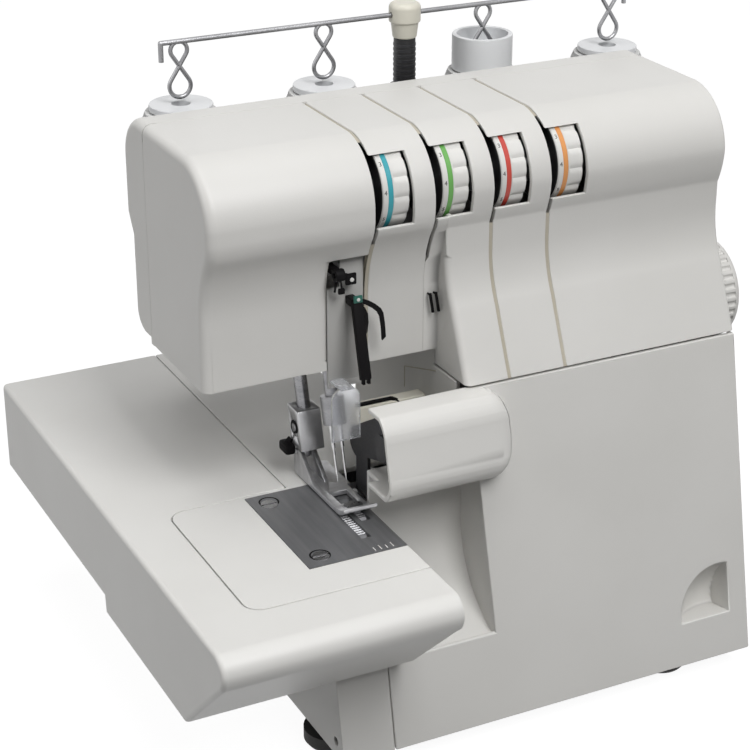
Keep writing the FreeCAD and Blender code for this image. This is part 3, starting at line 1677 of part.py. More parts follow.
def make_pole_tube():
    bore_radius = pole_radius + pole_gap
    tube = rod_z(stand_top, pole_tube_top, pole_x, stand_y, bore_radius + pole_tube_wall)
    return tube.cut(rod_z(stand_top + pole_tube_floor, pole_tube_top + past, pole_x, stand_y, bore_radius))


def make_pole_stage():
    return rod_z(stand_top + pole_tube_floor + past, cap_low, pole_x, stand_y, pole_radius)


def make_rail_cap():
    foot = V(pole_x, stand_y, cap_low)
    shank = Part.makeCone(cap_radius - 2.0, cap_radius - 1.0, cap_shank, foot, Z_AXIS)
    brim = rod_z(cap_low + cap_shank, cap_high, pole_x, stand_y, cap_radius)
    top_edges = [edge for edge in brim.Edges if edge.CenterOfMass.z > cap_high - running_gap]
    brim = brim.makeFillet(cap_edge, top_edges)
    reach = cap_radius + past
    rail_hole = rod_x(pole_x - reach, pole_x + reach, stand_y, rail_height, rail_radius)
    return fused([shank, brim]).cut(rail_hole)


def rail_eye(x):
    # A twisted wire eye: a small loop on the rail whose wire crosses below it into a larger loop.
    upper = V(x, stand_y, rail_height - eye_upper_radius)
    lower = V(x, stand_y, eye_bottom + eye_wire_radius + eye_lower_radius)
    cross = math.asin((eye_upper_radius + eye_lower_radius) / (upper.z - lower.z))
    right = V(math.cos(cross), 0, math.sin(cross))
    left = V(-math.cos(cross), 0, math.sin(cross))
    top_right = upper - left * eye_upper_radius
    top_left = upper - right * eye_upper_radius
    low_right = lower + right * eye_lower_radius
    low_left = lower + left * eye_lower_radius
    over = Part.Arc(top_right, upper + Z_AXIS * eye_upper_radius, top_left).toShape()
    under = Part.Arc(low_right, lower - Z_AXIS * eye_lower_radius, low_left).toShape()
    path = Part.Wire([over, Part.makeLine(top_left, low_right), under])
    section = Part.Wire([Part.makeCircle(eye_wire_radius, top_right, over.tangentAt(over.FirstParameter))])
    loop = path.makePipeShell([section], True, False)
    leg = Part.makeCylinder(eye_wire_radius, (low_left - top_right).Length, top_right, low_left - top_right)
    return loop.fuse(leg)


def make_thread_rail():
    places = spool_places()
    left = places[0] - rail_overhang
    right = places[-1] + rail_overhang
    pieces = [rod_x(left, right, stand_y, rail_height, rail_radius)]
    for x in (left, right):
        pieces.append(Part.makeSphere(rail_radius, V(x, stand_y, rail_height)))
        pieces.append(rod_z(rail_height - rail_overhang, rail_height, x, stand_y, rail_radius))
    rail = fused(pieces)
    for x in places:
        rail = rail.fuse(rail_eye(x))
    return rail


nodes = {
    "base_tray": make_base_tray,
    "machine_frame": make_machine_frame,
    "rear_cover": make_rear_cover,
    "head_cover": make_head_cover,
    "right_front_cover": make_right_front_cover,
    "free_arm_cover": make_free_arm_cover,
    "needle_plate": make_needle_plate,
    "needle_plate_screws": make_needle_plate_screws,
    "rubber_feet": make_rubber_feet,
    "take_up_cover": make_take_up_cover,
    "thread_guide_bar": make_thread_guide_bar,
    "thread_guide_hooks": make_thread_guide_hooks,
    "finger_guard": make_finger_guard,
    "lower_knife": make_lower_knife,
    "knife_guard": make_knife_guard,
    "motor_housing": make_motor_housing,
    "power_inlet": make_power_inlet,
    "spool_stand": make_spool_stand,
    "spool_pins": make_spool_pins,
    "spool_holders": make_spool_holders,
    "spools": make_spools,
    "thread_windings": make_thread_windings,
    "pole_tube": make_pole_tube,
    "tension_posts": make_tension_posts,
    "tension_discs": make_tension_discs,
    "bushes": make_bushes,
    "drive_belt": make_drive_belt,
    "extension_table": make_extension_table,
    "cover_rod": make_cover_rod,
    "looper_cover": make_looper_cover,
    "handwheel": make_handwheel,
    "main_shaft": make_main_shaft,
    "shaft_pulley": make_shaft_pulley,
    "motor_rotor": make_motor_rotor,
    "needle_bar": make_needle_bar,
    "needle_clamp": make_needle_clamp,
    "needles": make_needles,
    "presser_bar": make_presser_bar,
    "foot_holder": make_foot_holder,
    "presser_foot": make_presser_foot,
    "lifter_lever": make_lifter_lever,
    "upper_knife": make_upper_knife,
    "upper_looper": make_upper_looper,
    "lower_looper": make_lower_looper,
    "stitch_length_dial": make_stitch_length_dial,
    "power_switch": make_power_switch,
    "pole_stage": make_pole_stage,
    "thread_rail": make_thread_rail,
    "rail_cap": make_rail_cap,
    "take_up_lever": make_take_up_lever,
}

# The floor-level origin is under the middle of the overall box.
overall_right = spool_places()[-1] + stand_radius
to_part_frame = V(-overall_right / 2, -table_depth / 2, plate_height)


def save(name, shape):
    shape.translate(to_part_frame)
    shape.exportStep(os.path.join("parts", name + ".step"))
    print(name, len(shape.Solids), round(shape.Volume), shape.isValid())


os.makedirs("parts", exist_ok=True)
for name, make in nodes.items():
    save(name, make())
for number in range(slot_count - 1):
    save("tension_strip_%d" % (number + 1), make_tension_strip(number))
for number in range(slot_count):
    save("tension_dial_%d" % (number + 1), make_tension_dial(number))
save("main_feed_dog", make_feed_dog(main_dog_left, main_dog_front, main_dog_length))
save("differential_feed_dog", make_feed_dog(front_dog_left, front_dog_front, front_dog_length))
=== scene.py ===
# %% [markdown]
# An overlock sewing machine, dressed for a catalogue picture.
# The solids come from a CAD model that is loaded as a fixed frame. This lesson keeps that frame, gives
# every solid a procedural finish, and replaces the moulded shells, dials, windings and small fittings
# by meshes that carry the soft edges and small parts which a plain solid lacks.

# %% Load the frame
import bpy
import bmesh
import json
import math
from mathutils import Matrix, Vector


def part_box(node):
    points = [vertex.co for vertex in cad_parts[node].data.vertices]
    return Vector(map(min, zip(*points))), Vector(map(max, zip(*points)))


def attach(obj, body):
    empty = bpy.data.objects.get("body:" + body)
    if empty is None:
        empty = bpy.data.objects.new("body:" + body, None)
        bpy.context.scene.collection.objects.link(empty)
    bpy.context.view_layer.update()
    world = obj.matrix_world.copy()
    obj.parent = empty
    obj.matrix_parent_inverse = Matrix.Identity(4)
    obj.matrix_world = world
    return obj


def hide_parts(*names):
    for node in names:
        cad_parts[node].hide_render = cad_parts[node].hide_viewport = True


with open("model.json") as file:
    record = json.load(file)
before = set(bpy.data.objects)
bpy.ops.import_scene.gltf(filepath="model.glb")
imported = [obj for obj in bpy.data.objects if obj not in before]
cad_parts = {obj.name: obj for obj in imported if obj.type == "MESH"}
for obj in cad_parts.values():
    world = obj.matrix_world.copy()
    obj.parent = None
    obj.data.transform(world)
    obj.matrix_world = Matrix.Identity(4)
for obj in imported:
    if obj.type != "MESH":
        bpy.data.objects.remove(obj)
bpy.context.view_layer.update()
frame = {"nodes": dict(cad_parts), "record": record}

# %% [markdown]
# The drawing's own coordinates are millimetres from the left front corner of the extension table, with
# height counted from the table top. Scene units are metres with the origin on the floor. Every place could
# be written in metres, but a maker reads millimetres more easily, so one small helper turns a place on the
# drawing into a place in the scene, and a second one turns it back.

# %% Drawing coordinates
MM = 0.001
drawing_origin = Vector((-0.1695, -0.151, 0.118))


def at(x, y, z):
    return Vector((x * MM, y * MM, z * MM)) + drawing_origin


def on_drawing(point):
    return (point - drawing_origin) / MM


print("table corner", tuple(round(v, 4) for v in at(0, 0, 0)))

# %% [markdown]
# The camera stands in front of the machine, to its left and above it. A long lens keeps the verticals
# nearly parallel, as in a catalogue picture. It could be aimed by three angles, but those are hard to read
# back, so the direction is given as a vector and turned into a rotation.

# %% Camera
lens_data = bpy.data.cameras.new("catalogue_camera")
lens_data.lens = 95.38
lens_data.sensor_width = 36.0
camera = bpy.data.objects.new("catalogue_camera", lens_data)
camera.location = (-0.41796, -0.78725, 0.55485)
looking = Vector((0.4064, 0.8149, -0.4134))
camera.rotation_euler = looking.to_track_quat("-Z", "Y").to_euler()
bpy.context.scene.collection.objects.link(camera)
bpy.context.scene.camera = camera
bpy.context.scene.view_settings.view_transform = "Standard"
print("camera at", tuple(camera.location))

# %% [markdown]
# A white background could come from a bright world, but that would wash out the shadows on a white machine.
# Blender's Light Path node tells rays apart, so the world is white only for rays that look at it straight,
# through clear plastic or by a reflection. For all other rays it is a dim fill. The same choice serves the
# floor later, so it is a helper that works on any node tree.

# %% World
white_colour = (1.0, 1.0, 1.0)
fill_colour = (0.97, 0.985, 1.0)
fill_strength = 0.04


def coloured(tree, kind, colour, strength=None):
    shader = tree.nodes.new(kind)
    shader.inputs["Color"].default_value = (*colour, 1.0)
    if strength is not None:
        shader.inputs["Strength"].default_value = strength
    return shader


def show_by_ray(tree, plain, seen, output):
    path = tree.nodes.new("ShaderNodeLightPath")
    looks = path.outputs["Is Camera Ray"]
    for ray in ("Is Transmission Ray", "Is Glossy Ray"):
        either = tree.nodes.new("ShaderNodeMath")
        either.operation = "MAXIMUM"
        tree.links.new(looks, either.inputs[0])
        tree.links.new(path.outputs[ray], either.inputs[1])
        looks = either.outputs[0]
    choose = tree.nodes.new("ShaderNodeMixShader")
    out = tree.nodes.new(output)
    tree.links.new(looks, choose.inputs["Fac"])
    tree.links.new(plain.outputs[0], choose.inputs[1])
    tree.links.new(seen.outputs[0], choose.inputs[2])
    tree.links.new(choose.outputs[0], out.inputs["Surface"])


world = bpy.data.worlds.new("studio")
bpy.context.scene.world = world
world.use_nodes = True
world.node_tree.nodes.clear()
fill = coloured(world.node_tree, "ShaderNodeBackground", fill_colour, fill_strength)
white = coloured(world.node_tree, "ShaderNodeBackground", white_colour, strength=1.0)
show_by_ray(world.node_tree, fill, white, "ShaderNodeOutputWorld")
print("world fill", fill_strength)

# %% [markdown]
# Light in a catalogue studio is soft and comes from large panels. One panel stands in front and above and
# gives the shells their shading, a large one hangs over the machine, and a weak one fills from the left.
# Point lamps would be simpler, but their shadows have hard borders that such a picture never shows.

# %% Light panels
lit_point = Vector((0.0, 0.0, 0.15))


def panel(name, place, size, power):
    lamp = bpy.data.lights.new(name, "AREA")
    lamp.shape = "SQUARE"
    lamp.size = size
    lamp.energy = power
    holder = bpy.data.objects.new(name, lamp)
    holder.location = place
    holder.rotation_euler = (lit_point - Vector(place)).to_track_quat("-Z", "Y").to_euler()
    bpy.context.scene.collection.objects.link(holder)


panel("front_panel", (0.07, -1.1, 1.35), size=0.7, power=15.4)
panel("top_panel", (-0.15, -0.3, 3.0), size=2.0, power=33.0)
panel("left_panel", (-1.25, 0.15, 0.85), size=0.9, power=4.7)
print("panels:", len(bpy.data.lights))

# %% [markdown]
# The machine stands on a sheet of white paper that reaches far beyond the picture. Truly white paper would
# throw light up under the table, so the sheet is a dark grey for the light that bounces, and glows white
# only for rays that look at it. The shadow of the machine still falls on it.

# %% Floor
floor_reach = 4.0
paper_colour = (0.2, 0.2, 0.2)
paper_glow = 0.94
sheet = bmesh.new()
bmesh.ops.create_grid(sheet, x_segments=2, y_segments=2, size=floor_reach)
floor_data = bpy.data.meshes.new("studio_floor")
sheet.to_mesh(floor_data)
sheet.free()
floor = bpy.data.objects.new("studio_floor", floor_data)
bpy.context.scene.collection.objects.link(floor)
paper = bpy.data.materials.new("studio_paper")
paper.use_nodes = True
paper.node_tree.nodes.clear()
diffuse = coloured(paper.node_tree, "ShaderNodeBsdfDiffuse", paper_colour)
glow = coloured(paper.node_tree, "ShaderNodeEmission", white_colour, paper_glow)
glowing = paper.node_tree.nodes.new("ShaderNodeAddShader")
paper.node_tree.links.new(diffuse.outputs[0], glowing.inputs[0])
paper.node_tree.links.new(glow.outputs[0], glowing.inputs[1])
show_by_ray(paper.node_tree, diffuse, glowing, "ShaderNodeOutputMaterial")
floor_data.materials.append(paper)
print("floor reaches", floor_reach, "m")

# %% [markdown]
# Every finish is a small node tree on Object coordinates. A finish for moulded plastic needs three
# things that a flat colour lacks: a colour that drifts a little over the surface, a roughness that
# varies with the grain, and the fine grain that the mould leaves. One helper wires all three, and each
# finish only sets its own numbers. A number that is the same all over, such as how metallic it is, goes
# straight to the shader's own socket.

# %% Finish helper
finishes = {}
ramp_start, ramp_end = 0.35, 0.65
relief_depth = 0.2 * MM


def noise(tree, mapping, scale, detail):
    texture = tree.nodes.new("ShaderNodeTexNoise")
    texture.inputs["Scale"].default_value = scale
    texture.inputs["Detail"].default_value = detail
    tree.links.new(mapping.outputs["Vector"], texture.inputs["Vector"])
    return texture.outputs["Fac"]


def finish(name, light, dark, roughness, grain, bump, drift=14.0, stretch=(1.0, 1.0, 1.0), sockets=None):
    material = bpy.data.materials.new(name + "_finish")
    material.use_nodes = True
    tree = material.node_tree
    tree.nodes.clear()
    out = tree.nodes.new("ShaderNodeOutputMaterial")
    shader = tree.nodes.new("ShaderNodeBsdfPrincipled")
    tree.links.new(shader.outputs["BSDF"], out.inputs["Surface"])
    place = tree.nodes.new("ShaderNodeTexCoord")
    mapping = tree.nodes.new("ShaderNodeMapping")
    mapping.inputs["Scale"].default_value = stretch
    tree.links.new(place.outputs["Object"], mapping.inputs["Vector"])
    wide = noise(tree, mapping, drift, detail=4.0)
    fine = noise(tree, mapping, grain, detail=2.0)
    colours = tree.nodes.new("ShaderNodeValToRGB")
    first, last = colours.color_ramp.elements
    first.position, last.position = ramp_start, ramp_end
    first.color, last.color = (*dark, 1.0), (*light, 1.0)
    tree.links.new(wide, colours.inputs["Fac"])
    tree.links.new(colours.outputs["Color"], shader.inputs["Base Color"])
    gloss = tree.nodes.new("ShaderNodeMapRange")
    gloss.inputs["To Min"].default_value, gloss.inputs["To Max"].default_value = roughness
    tree.links.new(fine, gloss.inputs["Value"])
    tree.links.new(gloss.outputs["Result"], shader.inputs["Roughness"])
    relief = tree.nodes.new("ShaderNodeBump")
    relief.inputs["Strength"].default_value = bump
    relief.inputs["Distance"].default_value = relief_depth
    tree.links.new(fine, relief.inputs["Height"])
    tree.links.new(relief.outputs["Normal"], shader.inputs["Normal"])
    for socket, value in (sockets or {}).items():
        shader.inputs[socket].default_value = value
    material.diffuse_color = (*light, 1.0)
    finishes[name] = material


print("relief depth", relief_depth, "m")

# %% [markdown]
# The shells are matt white moulded plastic with the faint orange peel of the tool. The table is the same
# white from another mould. Dials are smoother, the cap and the knife guard have yellowed to cream, and
# the spool tops are a cooler white. Black parts are satin, and rubber is nearly without shine. Each call
# gives the lighter and the darker colour, the range of roughness, the grain's scale and its height.

# %% Plastics and rubber
finish("shell_white", (0.735, 0.725, 0.700), (0.705, 0.695, 0.668), (0.34, 0.46), 1900.0, 0.10)
finish("table_white", (0.770, 0.762, 0.738), (0.742, 0.733, 0.708), (0.36, 0.48), 1700.0, 0.12)
finish("dial_white", (0.80, 0.79, 0.765), (0.77, 0.76, 0.73), (0.28, 0.38), 2600.0, 0.05)
finish("cream_plastic", (0.76, 0.735, 0.64), (0.71, 0.68, 0.58), (0.28, 0.40), 2200.0, 0.06)
finish("spool_plastic", (0.80, 0.81, 0.82), (0.76, 0.77, 0.785), (0.26, 0.38), 2200.0, 0.05)
finish("black_plastic", (0.016, 0.016, 0.017), (0.009, 0.009, 0.010), (0.36, 0.52), 2400.0, 0.15)
finish("rubber_black", (0.024, 0.023, 0.022), (0.014, 0.014, 0.013), (0.68, 0.85), 1500.0, 0.35)
print("plastics:", sorted(finishes))

# %% [markdown]
# Metals differ in how they were worked. The needle plate is ground along its length, so its grain is
# stretched until it reads as fine lines. Loopers and shafts are polished, the upper knife is blackened, the
# wires are drawn, the bushes are brass, and the frame is cast and matt.

# %% Metals
finish(
    "plate_steel", (0.255, 0.257, 0.265), (0.215, 0.217, 0.226), (0.36, 0.50), 260.0, 0.10,
    drift=40.0, stretch=(9.0, 0.6, 1.0), sockets={"Metallic": 0.75}
)
finish(
    "bright_steel", (0.66, 0.66, 0.67), (0.54, 0.54, 0.55), (0.16, 0.30), 900.0, 0.08,
    drift=60.0, stretch=(1.0, 1.0, 5.0), sockets={"Metallic": 1.0}
)
finish(
    "dark_steel", (0.060, 0.060, 0.064), (0.036, 0.036, 0.040), (0.30, 0.48), 1100.0, 0.15,
    drift=50.0, sockets={"Metallic": 0.7}
)
finish(
    "wire_steel", (0.36, 0.36, 0.37), (0.26, 0.26, 0.27), (0.26, 0.40), 800.0, 0.10,
    drift=60.0, sockets={"Metallic": 0.9}
)
finish(
    "cast_aluminium", (0.42, 0.42, 0.43), (0.33, 0.33, 0.34), (0.50, 0.68), 1200.0, 0.30,
    drift=30.0, sockets={"Metallic": 0.8}
)
finish(
    "bush_brass", (0.62, 0.45, 0.20), (0.50, 0.35, 0.14), (0.26, 0.40), 900.0, 0.12,
    drift=40.0, sockets={"Metallic": 1.0}
)
print("finishes:", len(finishes))

# %% [markdown]
# Clear plastic is a thin sheet here and bends little light, so transmission and a low roughness are enough.
# Sewing thread is soft and without shine, and its fibres show as an uneven grain that lies along the turns.
# The helper's noise gives that grain when it is pressed together in height, and a little sheen stands for
# the fuzz.

# %% Clear plastic and thread
finish(
    "clear_plastic", (0.90, 0.91, 0.91), (0.84, 0.86, 0.86), (0.04, 0.12), 300.0, 0.03,
    sockets={"Transmission Weight": 0.92, "IOR": 1.2}
)
finish(
    "thread", (0.74, 0.74, 0.73), (0.60, 0.60, 0.59), (0.72, 0.88), 3200.0, 0.5,
    drift=500.0, stretch=(1.0, 1.0, 4.0), sockets={"Sheen Weight": 0.25}
)
print("finishes:", len(finishes))

# %% [markdown]
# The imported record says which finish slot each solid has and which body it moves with. All solids are
# dressed in one pass, so that parts which no later cell touches already have their final look.

# %% Dress the solids
slot_of = {}
for entry in frame["record"]["subparts"]:
    node = entry["node"]
    slot_of[node] = entry["material_slot"]
    for holder in frame["nodes"][node].material_slots:
        holder.material = finishes[slot_of[node]]
body_of = {}
for body, members in frame["record"]["behaviour"]["bodies"].items():
    for node in members:
        body_of[node] = body
print("dressed solids:", len(slot_of), "on bodies:", len(set(body_of.values())))

# %% [markdown]
# Each new piece is made as a bmesh and ends in the same way: it becomes an object at the origin, gets its
# finish, is shaded smooth except along its sharp edges, and is tied to the body that it moves with. A
# second helper evens out the shading of large flat faces beside narrow bevels.

# %% Helpers that hand in a piece
smooth_angle = 32.0


def hand_in(name, shape, look, body, smooth=smooth_angle):
    data = bpy.data.meshes.new(name)
    shape.to_mesh(data)
    shape.free()
    data.materials.append(finishes[look])
    data.shade_smooth()
    data.set_sharp_from_angle(angle=math.radians(smooth))
    piece = bpy.data.objects.new(name, data)
    bpy.context.scene.collection.objects.link(piece)
    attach(piece, body)
    return piece


def even_shading(piece, weight=50):
    level = piece.modifiers.new("even_shading", "WEIGHTED_NORMAL")
    level.keep_sharp = True
    level.weight = weight


print("pieces are smooth below", smooth_angle, "degrees")

# %% [markdown]
# Moulded shells never have knife-sharp edges: the tool leaves a small radius along every rim, and that
# radius is what catches the light. The solids are copied, their loose triangles are merged back into
# whole faces, and a bevel then runs along the rims. A Bevel modifier could do it, but it would take every
# edge above an angle, and here each shell states which rims it means and how wide they are. What lies within
# a small distance of a line or a wall of the drawing counts as lying on it.

# %% Helpers that soften a solid
weld_reach = 0.005 * MM
flat_angle = math.radians(0.4)
on_line, on_wall = 0.1, 0.05


def merged_copy(node):
    shape = bmesh.new()
    shape.from_mesh(frame["nodes"][node].data)
    bmesh.ops.remove_doubles(shape, verts=shape.verts, dist=weld_reach)
    bmesh.ops.dissolve_limit(
        shape, angle_limit=flat_angle, verts=shape.verts, edges=shape.edges, use_dissolve_boundaries=False
    )
    return shape


def everything(shape):
    return shape.verts[:] + shape.edges[:] + shape.faces[:]


def round_edges(shape, edges, width, segments=2):
    bmesh.ops.bevel(
        shape, geom=edges, offset=width * MM, offset_type="OFFSET", segments=segments, profile=0.5,
        affect="EDGES", material=-1
    )


def soften(shape, width, angle=40.0, where=None, segments=2):
    rims = []
    for edge in shape.edges:
        if len(edge.link_faces) != 2 or edge.calc_face_angle_signed() < math.radians(angle):
            continue
        if where is None or where(on_drawing((edge.verts[0].co + edge.verts[1].co) / 2)):
            rims.append(edge)
    round_edges(shape, rims, width, segments)
    return len(rims)


def softened(node, width, where=None):
    shape = merged_copy(node)
    count = soften(shape, width, where=where)
    piece = hand_in("soft_" + node, shape, slot_of[node], body_of[node])
    even_shading(piece, weight=80)
    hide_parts(node)
    print(node, "rims softened:", count)


print("solids are welded within", weld_reach, "m")

# %% [markdown]
# The extension table is the largest pale surface. Its left end is a flat side whose rim is well rounded,
# and its other rims have only the small radius of the tool. One bevel can't have two widths, so it runs
# twice: wide along the left end, then narrow along everything that is still sharp. The free arm has one
# small radius all round.

# %% Extension table and free arm
tool_radius = 0.6
table_end_radius = 2.4
table_end_reach = 0.5
arm_radius = 0.45


def table_end(p):
    return p.x < table_end_reach


table = merged_copy("extension_table")
end_rims = soften(table, table_end_radius, where=table_end, segments=4)
other_rims = soften(table, tool_radius)
table_piece = hand_in("soft_extension_table", table, "table_white", "extension_table")
even_shading(table_piece)
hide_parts("extension_table")
print("table rims:", end_rims, other_rims)
softened("free_arm_cover", arm_radius)

# %% [markdown]
# The covers of the head meet at thread slots. Each strip is a separate moulding, so its rims are soft on
# both sides of a slot, which is why a slot reads as a shadow line with a bright edge. Where the front
# covers meet the rear cover they are only butted together, so that joint keeps its sharp rims. The slot
# beside the step of the front ends high up, where the step begins, so its rims stay sharp below that, and
# so do those of the notch for the two bars and of the left end. The recess of the take-up has a rounder rim
# of its own.

# %% Front covers
cover_split = 176.0
butt_reach = 0.6
slot_end = 112.0
second_slot_left, second_slot_right = 148.5, 151.5
notch_left, notch_right, notch_top, notch_back = 89.0, 99.6, 68.0, 115.0
head_left_wall = 46.0
recess_left, recess_low, recess_high, recess_back = 100.0, 66.0, 118.0, 116.0
recess_radius = 1.9


def front_rim(p):
    butted = p.y > cover_split - butt_reach
    below_slot = second_slot_left < p.x < second_slot_right and p.z < slot_end
    bar_notch = notch_left < p.x < notch_right and p.z < notch_top and p.y < notch_back
    return not butted and not below_slot and not bar_notch and p.x > head_left_wall


def recess_rim(p):
    return abs(p.x - recess_left) < on_line and recess_low < p.z < recess_high and p.y < recess_back


head = merged_copy("head_cover")
recess_count = soften(head, recess_radius, where=recess_rim, segments=4)
rim_count = soften(head, tool_radius, where=front_rim)
head_piece = hand_in("soft_head_cover", head, "shell_white", "chassis")
even_shading(head_piece)
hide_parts("head_cover")
print("head cover rims:", recess_count, rim_count)
softened("tension_strip_1", tool_radius, front_rim)
softened("tension_strip_3", tool_radius, front_rim)

# %% [markdown]
# The second strip carries the step: left of it the face stays back, right of it the face swells forward.
# The step's outer corner is well rounded, so it gets a wide bevel of its own. A cut at the slot's lower end
# gives that bevel a place to stop. Below it the slot is drawn shut, by moving the strip's left rim over to
# its neighbour.

# %% Strip with the step
step_left = 157.0
step_radius, step_angle = 3.2, 30.0
step_low, step_back = 57.0, 109.0
slot_wall = 150.8
slot_gap = 1.5
shut_margin = 0.5


def step_corner(p):
    return abs(p.x - step_left) < on_line and p.y < step_back and step_low < p.z < slot_end


strip = merged_copy("tension_strip_2")
bmesh.ops.bisect_plane(strip, geom=everything(strip), plane_co=at(0, 0, slot_end), plane_no=(0, 0, 1))
outer = soften(strip, step_radius, step_angle, step_corner, segments=5)
rims = soften(strip, tool_radius, where=front_rim)
shut = 0
for vert in strip.verts:
    place = on_drawing(vert.co)
    if abs(place.x - slot_wall) < on_wall and place.z < slot_end - shut_margin:
        vert.co.x -= slot_gap * MM
        shut += 1
strip_piece = hand_in("soft_tension_strip_2", strip, "shell_white", "chassis")
even_shading(strip_piece)
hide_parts("tension_strip_2")
print("step rims:", outer, rims, "points drawn shut:", shut)

# %% [markdown]
# The right end of the head turns round in a larger radius than the rims, on the right front cover and on
# the rear cover alike, so both go through the same two bevels. The joint between them stays sharp.

# %% Right end and rear cover
machine_right = on_drawing(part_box("looper_cover")[1]).x
right_radius = 2.0
right_low = 60.0


def right_end(p):
    return p.x > machine_right - on_wall and p.z > right_low


def off_joint(p):
    return abs(p.y - cover_split) > butt_reach


for node in ("right_front_cover", "rear_cover"):
    shell = merged_copy(node)
    end_rims = soften(shell, right_radius, where=right_end, segments=4)
    other_rims = soften(shell, tool_radius, where=off_joint)
    piece = hand_in("soft_" + node, shell, "shell_white", "chassis")
    even_shading(piece)
    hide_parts(node)
    print(node, "rims:", end_rims, other_rims)

# %% [markdown]
# The looper cover carries the pod, the scoop for offcuts and the bowl for the fingers. The pod's right end
# is rounder than the solid's fillet. It could be bevelled again, but a bevel along a fillet tears easily, so
# level cuts give the pod more points, and these are drawn to the left, the more the nearer they lie to the
# pod's lower or upper corner. All other rims of the cover are softened first.

# %% Pod of the looper cover
cover_radius = 0.8
pod_root, pod_end, pod_tip, pod_back = 155.0, 175.0, 175.5, 86.0
pod_low, pod_high = 14.5, 56.2
fillet_left, fillet_right, fillet_low, fillet_high = 160.0, 178.0, 6.0, 55.5
pod_cuts = (18.0, 21.0, 24.0, 28.0, 32.0, 36.0, 44.0, 48.0, 52.0)
low_bend, low_reach, low_draw = 36.0, 21.0, 6.0
high_bend, high_reach, high_draw = 40.0, 16.0, 5.0


def off_pod(p):
    in_width = fillet_left < p.x < fillet_right
    in_height = fillet_low < p.z < fillet_high
    return not (in_width and in_height and p.y < pod_back)


cover = merged_copy("looper_cover")
for height in pod_cuts:
    near = [face for face in cover.faces if on_drawing(face.calc_center_median()).y < pod_back]
    edges = list({edge for face in near for edge in face.edges})
    verts = list({vert for face in near for vert in face.verts})
    bmesh.ops.bisect_plane(cover, geom=near + edges + verts, plane_co=at(0, 0, height), plane_no=(0, 0, 1))
rims = soften(cover, cover_radius, where=off_pod)
drawn = 0
for vert in cover.verts:
    place = on_drawing(vert.co)
    if pod_root < place.x < pod_tip and pod_low < place.z < pod_high and place.y < pod_back:
        low_pull = low_draw * max(0.0, (low_bend - place.z) / low_reach) ** 2
        high_pull = high_draw * max(0.0, (place.z - high_bend) / high_reach) ** 2
        vert.co.x -= (low_pull + high_pull) * (place.x - pod_root) / (pod_end - pod_root) * MM
        drawn += 1
print("looper cover rims:", rims, "points drawn in:", drawn)

# %% [markdown]
# Along the scoop's right end the smooth shading of one face would run over into the next and leave a dark
# smear in the scoop, so the edges there are marked sharp before the shading is evened out.

# %% Looper cover
scoop_right = 162.0
cover_piece = hand_in("soft_looper_cover", cover, "shell_white", "looper_cover")
for edge in cover_piece.data.edges:
    ends = [on_drawing(cover_piece.data.vertices[index].co).x for index in edge.vertices]
    if max(abs(x - scoop_right) for x in ends) < on_wall:
        edge.use_edge_sharp = True
even_shading(cover_piece)
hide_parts("looper_cover")
print("looper cover faces:", len(cover_piece.data.polygons))

# %% [markdown]
# The tray, the spool stand and the small mouldings need nothing but their radius. A bigger moulding mostly
# has the bigger radius, so each is listed with its own width.

# %% Base, stand and small mouldings
rim_widths = {
    "base_tray": tool_radius, "spool_stand": 1.2, "knife_guard": 0.8, "handwheel": 0.35,
    "power_inlet": 0.4, "power_switch": 0.4, "stitch_length_dial": 0.25,
}
for node, width in rim_widths.items():
    softened(node, width)

# %% [markdown]
# A tension dial is a wheel that shows through a window beside its thread slot. A wheel could start from a
# cylinder, but its steps and grooves are easier to draw as an outline, given as places along the axle and
# distances from it, which is then spun round the axle. The ribs of the grip are pressed into the spun wall
# afterwards, by moving the points that fall on a rib's border inwards.

# %% Helpers for wheels
spin_weld = 0.002 * MM
dial_axle = (123.5, 145.5)
rib_count = 14
rib_depth = 0.75
rib_floor = 19.0
rib_flat = 0.6


def close_and_spin(shape, points, centre, axis, steps):
    edges = [shape.edges.new(pair) for pair in zip(points, points[1:] + points[:1])]
    bmesh.ops.spin(
        shape, geom=points + edges, cent=centre, axis=axis, angle=2 * math.pi, steps=steps, use_merge=True
    )
    bmesh.ops.remove_doubles(shape, verts=shape.verts, dist=spin_weld)
    bmesh.ops.recalc_face_normals(shape, faces=shape.faces)


def wheel(outline, left, steps):
    shape = bmesh.new()
    y, z = dial_axle
    points = [shape.verts.new(at(left + x, y - radius, z)) for x, radius in outline]
    close_and_spin(shape, points, at(0, y, z), (1, 0, 0), steps)
    return shape


def press_ribs(shape, grip_left, grip_right):
    axle = at(0, *dial_axle)
    for vert in shape.verts:
        spoke = Vector((0, vert.co.y - axle.y, vert.co.z - axle.z))
        if grip_left <= on_drawing(vert.co).x <= grip_right and spoke.length > rib_floor * MM:
            place = (math.atan2(spoke.z, spoke.y) / (2 * math.pi) * rib_count) % 1.0
            border = abs(place - 0.5) * 2
            slope = max(0.0, (border - rib_flat) / (1.0 - rib_flat))
            vert.co -= spoke.normalized() * rib_depth * MM * slope


print("ribs per dial:", rib_count)
